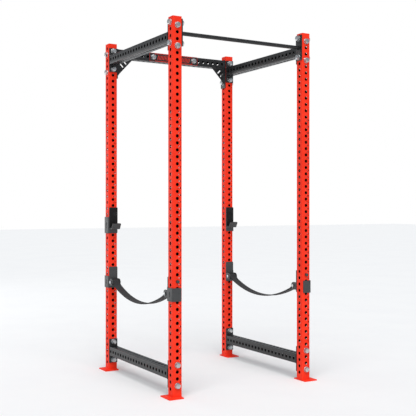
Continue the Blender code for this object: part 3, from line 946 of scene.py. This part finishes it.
def make_upright(side, end, trees, looks):
    red = looks["red"]
    rows = (UPRIGHT_Y_ROW, UPRIGHT_X_ROW, UPRIGHT_Y_ROW, UPRIGHT_X_ROW)
    tube = perforated_tube(
        FOOT_THICK, HEIGHT - CAP, rows, UPRIGHT_STOPS, trees, red, looks["inside"], numbers=NUMBERS
    )
    transform(tube, Matrix.Translation((SIDES[side] * CENTRE, ENDS[end] * CENTRE, 0)))
    cap = prism(rounded((-HALF, -HALF), (HALF, HALF), CORNER), "Z", HEIGHT - CAP + GAP / 3, HEIGHT)
    soften(cap, 0.0014)

    foot_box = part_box(f"{end}_{side}_upright")
    out = max(abs(foot_box[0].x), abs(foot_box[1].x)) - CENTRE
    plate = prism(rounded((-HALF, -FOOT_LENGTH / 2), (out, FOOT_LENGTH / 2), CORNER), "Z", 0, FOOT_THICK)
    bore = prism(circle(HALF + ANCHOR_OUT, 0, ANCHOR_R, 24), "Z", -FOOT_THICK, 2 * FOOT_THICK, smooth=True)
    plate = soften(carve(plate, "DIFFERENCE", bore), 0.0010)
    bead = add_mesh(bmesh.new(), weld_round(square_seam(0, 0), "Z", FOOT_THICK, trees, red))

    shapes = [tube, *to_corner([cap, plate, bead], side, end, 0)]
    node = f"{end}_{side}_upright"
    finished(f"{node}_perforated", shapes, [red, looks["inside"]], "frame", [node])


def flange(axis, across, low, high, along):
    """A crossmember's end plate, `along` being where its outer face meets the upright."""
    half = FLANGE_WIDTH / 2
    inner = along - math.copysign(FLANGE, along)
    outline = rounded((across - half, low), (across + half, high), 0.004)
    return soften(prism(outline, axis, *sorted((along, inner))), 0.0009)


def make_side_crossmember(side, level, trees, looks):
    node = f"{side}_{level}_crossmember"
    low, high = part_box(node)
    x, z = (low.x + high.x) / 2, (low.z + high.z) / 2
    reach = high.y - FLANGE
    rows = (MEMBER_SIDE_ROW, MEMBER_TOP_ROW, MEMBER_SIDE_ROW, MEMBER_TOP_ROW)
    tube = perforated_tube(-reach, reach, rows, MEMBER_STOPS, trees, looks["black"], looks["inside"])
    lie_down = Matrix.Rotation(-math.pi / 2, 4, "X") @ Matrix.Rotation(math.pi / 2, 4, "Z")
    transform(tube, Matrix.Translation((x, 0, z)) @ lie_down)
    shapes = [tube]
    for way in (-1, 1):
        shapes.append(flange("Y", x, low.z, high.z, way * high.y))
        shapes.append(weld_round(square_seam(x, z), "Y", way * (reach - BEAD_SINK), trees, looks["black"]))
    coats = [looks["black"], looks["inside"]]
    finished(f"{node}_perforated", shapes, coats, "frame", [node])


def make_rear_crossmember(trees, looks):
    low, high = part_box("rear_crossmember")
    y, top = (low.y + high.y) / 2, high.z - GAP
    z = top - HALF
    reach = high.x - FLANGE
    rows = (MEMBER_SIDE_ROW, MEMBER_TOP_ROW, MEMBER_SIDE_ROW, MEMBER_TOP_ROW)
    tube = perforated_tube(-reach, reach, rows, MEMBER_STOPS, trees, looks["black"], looks["inside"])
    transform(tube, Matrix.Translation((0, y, z)) @ Matrix.Rotation(math.pi / 2, 4, "Y"))
    shapes = [tube]
    front, bottom = y - HALF + WALL / 4, z - HALF
    middle = (reach - GUSSET_WIDE * 0.345, bottom - GUSSET_TALL * 0.32)
    for way in (-1, 1):
        shapes.append(flange("X", y, low.z, high.z, way * high.x))
        shapes.append(weld_round(square_seam(y, z), "X", way * (reach - BEAD_SINK), trees, looks["black"]))
        corners = (
            (way * (reach + FLANGE / 4), bottom + WALL / 2),
            (way * (reach - GUSSET_WIDE), bottom + WALL / 2),
            (way * (reach + FLANGE / 4), bottom - GUSSET_TALL),
        )
        gusset = prism(corners, "Y", front, front + GUSSET_THICK)
        slots = bmesh.new()
        for step in (-SLOT_LENGTH / 2, SLOT_LENGTH / 2):
            along = step * math.sqrt(0.5)
            outline = slot_outline(
                way * (middle[0] + along), middle[1] - along, SLOT_LENGTH, SLOT_WIDTH, way * math.pi / 4
            )
            add_prism(slots, outline, "Y", front - GUSSET_THICK, front + 2 * GUSSET_THICK, smooth=True)
        bmesh.ops.recalc_face_normals(slots, faces=slots.faces)
        shapes.append(soften(carve(gusset, "DIFFERENCE", slots), 0.0008))
    node, coats = "rear_crossmember", [looks["black"], looks["inside"]]
    finished(f"{node}_perforated", shapes, coats, "frame", [node])


def make_pull_up_bar(trees, looks):
    low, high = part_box("pull_up_bar")
    y, z = (low.y + high.y) / 2, (low.z + high.z) / 2
    reach = high.x - FLANGE
    bar = prism(circle(y, z, PULL_UP_R, 48), "X", -reach - FLANGE / 2, reach + FLANGE / 2, smooth=True)
    shapes = [bar]
    for way in (-1, 1):
        shapes.append(flange("X", y, low.z, high.z, way * high.x))
        seam = circle(y, z, PULL_UP_R + BEAD_SINK, 32)
        shapes.append(weld_round(seam, "X", way * (reach - BEAD_SINK), trees, looks["black"]))
    finished("pull_up_bar_finished", shapes, [looks["black"]], "frame", ["pull_up_bar"])


def make_name_plate(trees, looks):
    """A black plate with a red border and a row of plain slanted stripes."""
    low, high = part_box("name_plate")
    z, tall = (low.z + high.z) / 2, high.z - low.z
    outline = rounded((low.x, low.z), (high.x, high.z), 0.005)
    plate = soften(prism(outline, "Y", low.y, high.y), 0.0008)
    black, red, slot = looks["sign_black"], looks["sign_red"], "name_plate_paint"
    finished("name_plate_finished", [plate], [black], "frame", ["name_plate"])

    proud = 0.0005

    def border(reach_x, reach_z, radius, line):
        outer = rounded((-reach_x, z - reach_z), (reach_x, z + reach_z), radius)
        x, high_z = reach_x - line, reach_z - line
        inner = rounded((-x, z - high_z), (x, z + high_z), radius - line / 2)
        ring = prism(outer, "Y", low.y - proud, low.y + proud)
        return carve(ring, "DIFFERENCE", prism(inner, "Y", low.y - 2 * proud, low.y + 2 * proud))

    lean, wide, reach = 0.010, 0.0048, 0.0190
    corners = ((-wide, -reach), (wide, -reach), (wide, reach), (-wide, reach))
    slanted = [(x / 2 + lean / 2 * math.copysign(1, v), z + v) for x, v in corners]
    stripe = prism(slanted, "Y", low.y - proud, low.y + proud)
    count, step = 23, 0.0140
    values = {"Count": count, "Start": (-step * (count - 1) / 2, 0, 0), "Step": (step, 0, 0)}
    values["Finish"] = red
    stripes = grow(trees["row"], mesh_of(stripe), values)
    edge_x, edge_z = high.x - 0.0012, tall / 2 - 0.0012
    outer_line = border(edge_x, edge_z, 0.0045, 0.0016)
    inner_line = border(0.184, tall / 2 - 0.0055, 0.003, 0.0026)
    finished("name_plate_lines", [outer_line, inner_line, stripes], [red], "frame", [])


# -------------------------------------------------------------------------------------------------- bolts


def hex_radius(radius, turn):
    """From a hexagon's middle to its edge, in the direction of the turn."""
    sixth = math.pi / 3
    return radius * math.cos(sixth / 2) / math.cos((turn % sixth) - sixth / 2)


def add_rings(bm, rings, smooth=()):
    """Joins rings of points into a closed skin. Each pair named in smooth is shaded smooth."""
    made = [[bm.verts.new(point) for point in ring] for ring in rings]
    bm.faces.new(made[0])
    bm.faces.new(made[-1])
    for level, (first, second) in enumerate(zip(made, made[1:])):
        bridge(bm, first, second, smooth=level in smooth)


def add_hexagon(bm, low, high, radius, chamfers=(False, True), sides=24):
    """A chamfered bolt head or nut up the Z axis."""
    flat = radius * math.cos(math.pi / 6) * 0.97
    slope = math.tan(math.pi / 6)
    turns = [2 * math.pi * i / sides for i in range(sides)]
    sloped = {False: 0.0, True: slope}
    rings = []
    for end, way, cut in ((low, 1, chamfers[0]), (high, -1, chamfers[1])):
        edge, face = [], []
        for t in turns:
            r = hex_radius(radius, t)
            edge.append((r * math.cos(t), r * math.sin(t), end + way * sloped[cut] * max(0.0, r - flat)))
            face.append((flat * math.cos(t), flat * math.sin(t), end))
        pair = [face, edge] if cut else [edge]
        rings.append(pair if way > 0 else pair[::-1])
    add_rings(bm, rings[0] + rings[1])


def add_turned(bm, profile, sides=24, smooth=()):
    """A solid of revolution about the Z axis, from (radius, height) pairs."""
    turns = [2 * math.pi * i / sides for i in range(sides)]
    rings = [[(r * math.cos(t), r * math.sin(t), z) for t in turns] for r, z in profile]
    add_rings(bm, rings, smooth)


def washer_profile(low, high):
    edge = 0.0005
    return [
        (WASHER_R - edge, low),
        (WASHER_R, low + edge),
        (WASHER_R, high - edge),
        (WASHER_R - edge, high),
    ]


def bolt_head():
    bm = bmesh.new()
    top = GAP + WASHER_THICK
    add_turned(bm, washer_profile(GAP, top), sides=32, smooth=(1,))
    add_hexagon(bm, top, top + HEAD_HIGH, HEAD_R)
    dome = HEAD_R * 0.62
    rise = top + HEAD_HIGH
    add_turned(bm, [(dome, rise - 0.001), (dome, rise + 0.0001), (dome * 0.86, rise + 0.0003)], sides=24)
    return bm


def bolt_nut(washer=True):
    """Below the last plate: a washer, the nut and the bolt's chamfered end."""
    bm = bmesh.new()
    seat = GAP
    if washer:
        add_turned(bm, washer_profile(-GAP - WASHER_THICK, -GAP), sides=32, smooth=(1,))
        seat += WASHER_THICK
    low = -seat - NUT_HIGH
    add_hexagon(bm, low, -seat, HEAD_R, chamfers=(True, False))
    thread_r = SHAFT_R - 0.0006
    add_turned(bm, [(SHAFT_R - 0.0025, low - 0.0004), (thread_r, low), (thread_r, low + 0.002)], smooth=(1,))
    return bm


def bolt_shaft():
    """Of unit length: each bolt stretches it to its own grip."""
    bm = bmesh.new()
    add_turned(bm, [(SHAFT_R, 0.0), (SHAFT_R, 1.0)], sides=20, smooth=(0,))
    return bm


def make_bolts(trees, looks):
    shapes = {"head": bolt_head(), "shaft": bolt_shaft(), "nut": bolt_nut(), "captive_nut": bolt_nut(False)}
    parts = {}
    for name, bm in shapes.items():
        bmesh.ops.recalc_face_normals(bm, faces=bm.faces)
        parts[name] = link_object(f"{name}_pattern", mesh_of(bm))

    def row(name, nodes, nut="nut"):
        """The bolts that replace these nodes. A node's box gives its place, facing and grip."""
        mesh = bpy.data.meshes.new("places")
        places, facings, grips = [], [], []
        for node, facing in nodes:
            low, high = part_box(node)
            facing = Vector(facing)
            middle = (low + high) / 2
            length = abs((high - low).dot(facing))
            head = GAP + WASHER_THICK + HEAD_HIGH
            tail = GAP + NUT_HIGH + (WASHER_THICK if nut == "nut" else 0)
            places.append(tuple(middle + facing * (length / 2 - head)))
            facings += list(facing)
            grips.append(length - head - tail)
        mesh.from_pydata(places, [], [])
        mesh.attributes.new("facing", "FLOAT_VECTOR", "POINT").data.foreach_set("vector", facings)
        mesh.attributes.new("grip", "FLOAT", "POINT").data.foreach_set("value", grips)
        values = {
            "Head": parts["head"],
            "Shaft": parts["shaft"],
            "Nut": parts[nut],
            "Twist": TWIST,
            "Seed": len(name),
            "Finish": looks["zinc"],
        }
        bolts = grow(trees["bolt"], mesh, values)
        replaced = [node for node, _ in nodes]
        finished(name, [bolts], [looks["zinc"]], "frame", replaced)

    heights = ("lower", "upper")
    for side in SIDES:
        for level in ("bottom", "top"):
            nodes = [
                (f"{side}_{level}_{end}_{height}_bolt", (0, sy, 0))
                for end, sy in ENDS.items()
                for height in heights
            ]
            row(f"{side}_{level}_crossmember_bolts", nodes)
    outward = [(side, (sx, 0, 0)) for side, sx in SIDES.items()]
    nodes = [(f"pull_up_bar_{side}_{height}_bolt", way) for side, way in outward for height in heights]
    row("pull_up_bar_bolts", nodes)
    for height, nut in (("lower", "nut"), ("upper", "captive_nut")):
        nodes = [(f"rear_crossmember_{side}_{height}_bolt", way) for side, way in outward]
        row(f"rear_crossmember_{height}_bolts", nodes, nut)
    row("name_plate_bolts", [(f"name_plate_{side}_bolt", (0, -1, 0)) for side in SIDES])
    for part in parts.values():
        bpy.data.objects.remove(part)


# -------------------------------------------------------------------------------- J-cups and strap brackets


def bent_plate(outline, lengths, radius):
    """A flat plate with that outline of (distance along, z), folded left by a right angle after each length.

    It starts at the origin, heading +X, with its outside at -Y."""
    turn = math.pi / 2
    arc = radius * turn
    bm = bmesh.new()
    bm.faces.new([bm.verts.new((u, 0, v)) for u, v in outline])
    along = 0.0
    for length in lengths[:-1]:
        along += length
        for i in range(ARC_CUTS + 3):
            cut = along + arc * i / (ARC_CUTS + 2)
            geometry = bm.verts[:] + bm.edges[:] + bm.faces[:]
            bmesh.ops.bisect_plane(bm, geom=geometry, plane_co=(cut, 0, 0), plane_no=(1, 0, 0), dist=1e-7)
        along += arc
    side = bmesh.ops.extrude_face_region(bm, geom=bm.faces[:])
    moved = [item for item in side["geom"] if isinstance(item, bmesh.types.BMVert)]
    bmesh.ops.translate(bm, verts=moved, vec=(0, PLATE / 2, 0))
    still = [v for v in bm.verts if v not in set(moved)]
    bmesh.ops.translate(bm, verts=still, vec=(0, -PLATE / 2, 0))
    soften(bm, 0.0009)
    for vert in bm.verts:
        vert.co = folded(vert.co, lengths, radius)
    bmesh.ops.recalc_face_normals(bm, faces=bm.faces)
    for face in bm.faces:
        if len(face.verts) == 4:
            face.smooth = True
    return bm


def folded(point, lengths, radius):
    """Where a point of the flat plate ends up."""
    along, offset = point.x, point.y
    here, way = Vector((0, 0)), Vector((1, 0))
    for length in lengths[:-1]:
        left = Vector((-way.y, way.x))
        if along <= length:
            break
        here += way * length
        along -= length
        bent = min(along / radius, math.pi / 2)
        centre = here + left * radius
        spoke = Matrix.Rotation(bent, 2) @ -left
        if along < radius * math.pi / 2:
            spot = centre + spoke * (radius - offset)
            return Vector((spot.x, spot.y, point.z))
        here = centre + spoke * radius
        along -= radius * math.pi / 2
        way = left
    left = Vector((-way.y, way.x))
    spot = here + way * along + left * offset
    return Vector((spot.x, spot.y, point.z))


def hanger(span):
    """What a J-cup and a strap bracket share: the folded wrap, its taller front plate and the pin."""
    bottom, wrap_top, top = span
    radius = 0.0055
    near = HALF + PLATE_GAP + PLATE / 2
    first = near + PLATE_INNER - radius
    second = 2 * (near - radius)
    third = near + WRAP_INNER - radius
    arc = radius * math.pi / 2
    end = first + second + third + 2 * arc
    shoulder = 2 * PLATE_INNER - GAP
    notch, round_off, corner_points = 0.006, 0.008, 6
    tall = rounded((0, bottom), (shoulder, top), round_off, corner_points - 1)
    long = rounded((0, bottom), (end, wrap_top), round_off, corner_points - 1)
    outline = tall[: 3 * corner_points] + long[3 * corner_points :] + long[:corner_points]
    for i in range(5):
        t = math.pi / 2 * i / 4
        outline.append((shoulder + notch - notch * math.sin(t), wrap_top + notch - notch * math.cos(t)))
    plate = bent_plate(outline, (first, second, third), radius)
    transform(plate, Matrix.Translation((-PLATE_INNER, -near, 0)))
    middle, length = (bottom + wrap_top) / 2, (wrap_top - bottom) * 0.4
    window = slot_outline(0, middle, length, 0.009, math.pi / 2)
    plate = carve(plate, "DIFFERENCE", prism(window, "X", near - PLATE, near + PLATE, smooth=True))

    pin = bmesh.new()
    tip = HALF + PIN_PROUD
    profile = [(PIN_R, -near), (PIN_R, tip - 0.0030), (PIN_R - 0.0008, tip - 0.0012), (PIN_R - 0.0028, tip)]
    add_turned(pin, profile, sides=32, smooth=(0, 1, 2))
    transform(pin, Matrix.Rotation(-math.pi / 2, 4, "X"))
    bmesh.ops.recalc_face_normals(pin, faces=pin.faces)
    return plate, pin


def pin_weld(trees, look):
    """The bead where the pin comes through the front plate, ground nearly flat."""
    face = -HALF - PLATE_GAP - PLATE
    seam = circle(0, 0, PIN_R * 0.75, 24)
    return add_mesh(bmesh.new(), weld_round(seam, "Y", face + BEAD_R * 0.55, trees, look))


def from_face(outline):
    """An outline of (distance from the upright's inner face, z) as (y, z)."""
    return [(-HALF - distance, z) for distance, z in outline]


def make_j_cup(side, trees, looks):
    satin = looks["satin"]
    plate, pin = hanger(J_CUP_SPAN)
    line = bend_line([(PLATE_GAP + PLATE / 2, SHELF_Z), (SHELF_DEEP, SHELF_Z), LIP_TIP], 0.007)
    half = PLATE_INNER - GAP
    tray = soften(prism(from_face(thicken(line, PLATE)), "X", -half, half), 0.0009)
    weld = pin_weld(trees, satin)
    body = f"{side}_j_cup_body"
    shapes = to_corner([plate, pin, tray, weld], side, "rear", pivots[f"{side}_j_cup_swing"].z)
    finished(f"{side}_j_cup_steel", shapes, [satin], body, [f"{side}_j_cup"])

    rise = PLATE / 2 + GAP + LINER / 2
    seat_line = bend_line([(PLATE_GAP + PLATE + GAP, SHELF_Z), (SHELF_DEEP, SHELF_Z), LIP_TIP], 0.0125, 8)
    seat = prism(from_face(thicken(seat_line, LINER, rise)), "X", -LINER_HALF, LINER_HALF)
    seat = soften(seat, 0.0016, cuts=3)
    seat = to_corner([seat], side, "rear", pivots[f"{side}_j_cup_swing"].z)
    node = f"{side}_j_cup_tray_liner"
    finished(f"{node}_moulded", seat, [looks["liner"]], body, [node])

    back = -HALF - PLATE_GAP - PLATE - GAP
    low = (-LINER_HALF, SHELF_Z + rise + LINER / 2 + GAP)
    high = (LINER_HALF, J_CUP_SPAN[2] - GAP)
    face = soften(prism(rounded(low, high, 0.006), "Y", back - LINER, back), 0.0016, cuts=3)
    face = to_corner([face], side, "rear", pivots[f"{side}_j_cup_swing"].z)
    node = f"{side}_j_cup_face_liner"
    finished(f"{node}_moulded", face, [looks["liner"]], body, [node])


def make_strap_bracket(side, end, trees, looks):
    satin = looks["satin"]
    plate, pin = hanger(BRACKET_SPAN)
    y = -HALF - ROLL_OUT
    root = -HALF - PLATE_GAP - PLATE / 2
    turns = [math.pi * (0.5 + i / 16) for i in range(17)]
    outline = [(y + EAR_R * math.cos(t), ROLL_Z + EAR_R * math.sin(t)) for t in turns]
    outline += [(root, ROLL_Z - EAR_R), (root, ROLL_Z + EAR_R)]
    shapes = [plate, pin, pin_weld(trees, satin)]
    for way in (-1, 1):
        ear = prism(outline, "X", *sorted((way * EAR_OUTER, way * (EAR_OUTER - EAR))))
        hole = circle(y, ROLL_Z, STRAP_BOLT_R + GAP, 24)
        bore = prism(hole, "X", -2 * EAR_OUTER, 2 * EAR_OUTER, smooth=True)
        shapes.append(soften(carve(ear, "DIFFERENCE", bore), 0.0008))
    height = pivots[f"{side}_{end}_bracket_swing"].z
    body = f"{side}_{end}_bracket_body"
    node = f"{side}_{end}_strap_bracket"
    shapes = to_corner(shapes, side, end, height)
    finished(f"{node}_steel", shapes, [satin], body, [node])

    bolt = bmesh.new()
    seat = EAR_OUTER + GAP
    tip = seat + STRAP_BOLT_HIGH
    add_turned(bolt, [(STRAP_BOLT_R, -seat), (STRAP_BOLT_R, seat)], sides=24, smooth=(0,))
    inside, edge = EAR_OUTER - EAR - GAP, 0.001
    spool = [(SPOOL_R - edge, -inside), (SPOOL_R, -inside + edge)]
    spool += [(SPOOL_R, inside - edge), (SPOOL_R - edge, inside)]
    add_turned(bolt, spool, sides=32, smooth=(1,))
    add_hexagon(bolt, seat, tip, STRAP_BOLT_HEAD_R)
    add_hexagon(bolt, -tip, -seat, STRAP_BOLT_HEAD_R, chamfers=(True, False))
    bmesh.ops.recalc_face_normals(bolt, faces=bolt.faces)
    transform(bolt, Matrix.Translation((0, y, ROLL_Z)) @ Matrix.Rotation(math.pi / 2, 4, "Y"))
    node = f"{side}_{end}_strap_pin"
    shapes = to_corner([bolt], side, end, height)
    finished(f"{node}_plated", shapes, [looks["zinc"]], body, [node])


# ------------------------------------------------------------------------------------------- safety straps


def bezier(a, b, c, d, steps):
    made = []
    for i in range(1, steps):
        t = i / steps
        made.append(a * (1 - t) ** 3 + b * 3 * t * (1 - t) ** 2 + c * 3 * t * t * (1 - t) + d * t**3)
    return made


def strap_path():
    """The webbing's middle line, as (y, z, thickness): out along the top ply, round the spool, back below.

    y runs from the cage's middle outward and z up from the spool."""
    spool_y = INNER - ROLL_OUT
    slope = 2 * STRAP_SAG / spool_y
    apart = 0.062  # from the spool back to where the plies meet
    join = spool_y - apart
    thick = 2 * PLY - GAP
    radius = SPOOL_R + GAP + thick / 2

    def ply(y, way):
        lean = Vector((1.0, 2 * STRAP_SAG * y / spool_y**2)).normalized()
        normal = Vector((-lean.y, lean.x))
        return Vector((y, STRAP_SAG * ((y / spool_y) ** 2 - 1))) + normal * (way * PLY / 2), lean

    count = 26
    top = [ply(join * i / count, 1)[0] for i in range(count + 1)]
    bottom = [ply(join * i / count, -1)[0] for i in range(count + 1)]
    axis = Vector((1.0, slope)).normalized()
    normal = Vector((-axis.y, axis.x))
    centre = Vector((spool_y, 0.0))
    opening = math.acos(radius / apart)

    def on_roll(turn):
        """A point on the roll, turned from the strap's own side of the spool."""
        return centre + (-axis * math.cos(turn) + normal * math.sin(turn)) * radius

    first, last = on_roll(opening), on_roll(2 * math.pi - opening)
    tangent_up = (axis * math.sin(opening) + normal * math.cos(opening)).normalized()
    tangent_down = (axis * math.sin(opening) - normal * math.cos(opening)).normalized()
    lean = ply(join, 1)[1]
    reach = (first - top[-1]).length * 0.38
    rise = bezier(top[-1], top[-1] + lean * reach, first - tangent_up * reach, first, 9)
    steps = 28
    turns = [opening + (2 * math.pi - 2 * opening) * i / steps for i in range(steps + 1)]
    roll = [on_roll(turn) for turn in turns]
    fall = bezier(last, last - tangent_down * reach, bottom[-1] + lean * reach, bottom[-1], 9)
    line = top + rise + roll + fall + bottom[::-1]
    thicknesses = [PLY] * len(top)
    thicknesses += [PLY + (thick - PLY) * (i + 1) / (len(rise) + 1) for i in range(len(rise))]
    thicknesses += [thick] * len(roll)
    thicknesses += [thick - (thick - PLY) * (i + 1) / (len(fall) + 1) for i in range(len(fall))]
    thicknesses += [PLY] * len(bottom)
    return line, thicknesses


def webbing_section(thickness):
    """Across the webbing: (x, height), anticlockwise from the right edge, with soft selvedges."""
    half, thin = STRAP_WIDTH / 2, thickness / 2
    upper = [(half - 0.0012, thin * 0.86)]
    columns = 8
    for i in range(columns + 1):
        x = (half - 0.004) * (1 - 2 * i / columns)
        upper.append((x, thin * (0.985 if i % columns else 1.0)))
    upper.append((-half + 0.0012, thin * 0.86))
    return [(half, 0.0), *upper, (-half, 0.0), *[(x, -y) for x, y in upper[::-1]]]


def make_webbing(line, thicknesses):
    """The half strap as one skin with a UV map in metres, and its cut length."""
    bm = bmesh.new()
    cloth = bm.loops.layers.uv.new("cloth")
    rings, lengths, run = [], [], 0.0
    for i, (point, thickness) in enumerate(zip(line, thicknesses)):
        before, after = line[max(i - 1, 0)], line[min(i + 1, len(line) - 1)]
        if i:
            run += (point - line[i - 1]).length
        lengths.append(run)
        way = (after - before).normalized()
        if i in (0, len(line) - 1):
            way = Vector((1.0, 0.0)) * (1 if i == 0 else -1)
        normal = Vector((-way.y, way.x))
        ring = []
        for x, height in webbing_section(thickness):
            spot = point + normal * height
            ring.append(bm.verts.new((x, spot.x, spot.y)))
        rings.append(ring)
    around = [0.0]
    section = [Vector(p) for p in webbing_section(PLY)]
    for first, second in zip(section, section[1:] + section[:1]):
        around.append(around[-1] + (second - first).length)
    count = len(section)
    for k, (first, second) in enumerate(zip(rings, rings[1:])):
        for i in range(count):
            j = (i + 1) % count
            face = bm.faces.new((first[i], first[j], second[j], second[i]))
            face.smooth = True
            places = ((around[i], lengths[k]), (around[i + 1], lengths[k]))
            places += ((around[i + 1], lengths[k + 1]), (around[i], lengths[k + 1]))
            for loop, spot in zip(face.loops, places):
                loop[cloth].uv = spot
    bm.faces.new(rings[0])
    bm.faces.new(rings[-1])
    bmesh.ops.recalc_face_normals(bm, faces=bm.faces)
    return bm, run


def stitch():
    """One thread's hump, lying along Y and standing up Z."""
    bm = bmesh.new()
    half, wide, high = 0.0026, 0.00055, 0.00045
    rings = []
    for y, share in ((-half, 0.35), (-half * 0.6, 0.9), (half * 0.6, 0.9), (half, 0.35)):
        turns = [2 * math.pi * (i + 0.5) / 6 for i in range(6)]
        rings.append([(wide * share * math.cos(t), y, high * share * math.sin(t)) for t in turns])
    add_rings(bm, rings, smooth=(0, 1, 2))
    bmesh.ops.recalc_face_normals(bm, faces=bm.faces)
    return bm


def make_strap_half(side, end, trees, looks, pattern):
    """Half a strap, from the cage's middle to its loop round the bracket's spool, sagging in between."""
    line, thicknesses = strap_path()
    cloth, cut_length = make_webbing(line, thicknesses)
    plies = [i for i, thickness in enumerate(thicknesses) if thickness == PLY]
    middle = len(plies) // 2
    shapes = [cloth]
    for indices in (plies[:middle], plies[middle:][::-1]):
        top_ply = indices[0] == 0
        for x in STITCH_ROWS:
            seam = []
            for i in indices[1:]:
                before, after = line[i - 1], line[min(i + 1, len(line) - 1)]
                way = (after - before).normalized()
                normal = Vector((-way.y, way.x))
                spot = line[i] + normal * (PLY / 2 + 0.0001)
                seam.append((x, spot.x, spot.y))
            if not top_ply:
                seam = seam[::-1]
            values = {"Stitch": pattern, "Spacing": STITCH_SPACING, "Finish": looks["thread"]}
            threads = add_mesh(bmesh.new(), grow(trees["stitch"], line_of(seam), values))
            for face in threads.faces:
                face.material_index = 1
            shapes.append(threads)

    sx, sy = SIDES[side], ENDS[end]
    pivot = pivots[f"{side}_{end}_bracket_swing"]
    matrix = Matrix.Translation((sx * CENTRE, 0, pivot.z + ROLL_Z)) @ Matrix.Diagonal((1, sy, 1, 1))
    shapes = [transform(shape, matrix) for shape in shapes]
    nodes = [f"{side}_strap_span", f"{side}_strap_{end}_loop"]
    name = f"{side}_strap_{end}_half"
    piece = finished(name, shapes, [looks["webbing"], looks["thread"]], None, nodes)
    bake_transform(piece)


# --------------------------------------------------------------------------------------------------- studio


def make_floor(looks):
    half = 40.0
    mesh = bpy.data.meshes.new("studio_floor")
    corners = [(-half, -half, 0), (half, -half, 0), (half, half, 0), (-half, half, 0)]
    mesh.from_pydata(corners, [], [(0, 1, 2, 3)])
    mesh.materials.append(looks["floor"])
    link_object("studio_floor", mesh)


def make_camera():
    data = bpy.data.cameras.new("studio_camera")
    data.lens = 69.1
    data.sensor_width = 36.0
    data.shift_y = -0.0058
    camera = bpy.data.objects.new("studio_camera", data)
    camera.location = (-3.2845, -5.6916, 1.3883)
    camera.rotation_euler = (math.pi / 2, 0, math.radians(-30.264))
    bpy.context.scene.collection.objects.link(camera)
    bpy.context.scene.camera = camera


def add_light(name, kind, place_at, target, power, **settings):
    data = bpy.data.lights.new(name, kind)
    data.energy = power
    for label, value in settings.items():
        setattr(data, label, value)
    light = bpy.data.objects.new(name, data)
    light.location = place_at
    way = Vector(target) - Vector(place_at)
    light.rotation_euler = way.to_track_quat("-Z", "Y").to_euler()
    bpy.context.scene.collection.objects.link(light)


def make_studio():
    """White surroundings to the eye, dimmer ones for the light they cast, a wide key and a soft box."""
    world = bpy.data.worlds.new("studio")
    world.use_nodes = True
    tree = world.node_tree
    tree.nodes.clear()
    cast = add_node(tree, "ShaderNodeBackground", {"Color": (0.92, 0.96, 1.0, 1), "Strength": 0.46})
    seen = add_node(tree, "ShaderNodeBackground", {"Color": (1, 1, 1, 1), "Strength": 1.0})
    eye = add_node(tree, "ShaderNodeLightPath").outputs["Is Camera Ray"]
    mixed = add_node(tree, "ShaderNodeMixShader", {0: eye, 1: cast.outputs[0], 2: seen.outputs[0]})
    add_node(tree, "ShaderNodeOutputWorld", {"Surface": mixed.outputs[0]})
    bpy.context.scene.world = world
    add_light("wide_key", "SUN", (-1.5, -3.1, 4.9), (0, 0, 0), 2.5, angle=math.radians(50))
    size = {"shape": "RECTANGLE", "size": 5.0, "size_y": 4.0}
    add_light("soft_box", "AREA", (-4.2, 7.4, 1.6), (0, 0, 1.4), 95, **size)
    bpy.context.scene.view_settings.view_transform = "Standard"


def main():
    looks = make_materials()
    trees = {
        "row": make_row_tree(),
        "bolt": make_bolt_tree(),
        "bead": make_bead_tree(),
        "stitch": make_stitch_tree(),
    }
    pattern = link_object("stitch_pattern", mesh_of(stitch()))
    for side in SIDES:
        for end in ENDS:
            make_upright(side, end, trees, looks)
            make_strap_bracket(side, end, trees, looks)
            make_strap_half(side, end, trees, looks, pattern)
        make_side_crossmember(side, "bottom", trees, looks)
        make_side_crossmember(side, "top", trees, looks)
        make_j_cup(side, trees, looks)
    bpy.data.objects.remove(pattern)
    make_rear_crossmember(trees, looks)
    make_pull_up_bar(trees, looks)
    make_name_plate(trees, looks)
    make_bolts(trees, looks)
    make_floor(looks)
    make_camera()
    make_studio()


main()
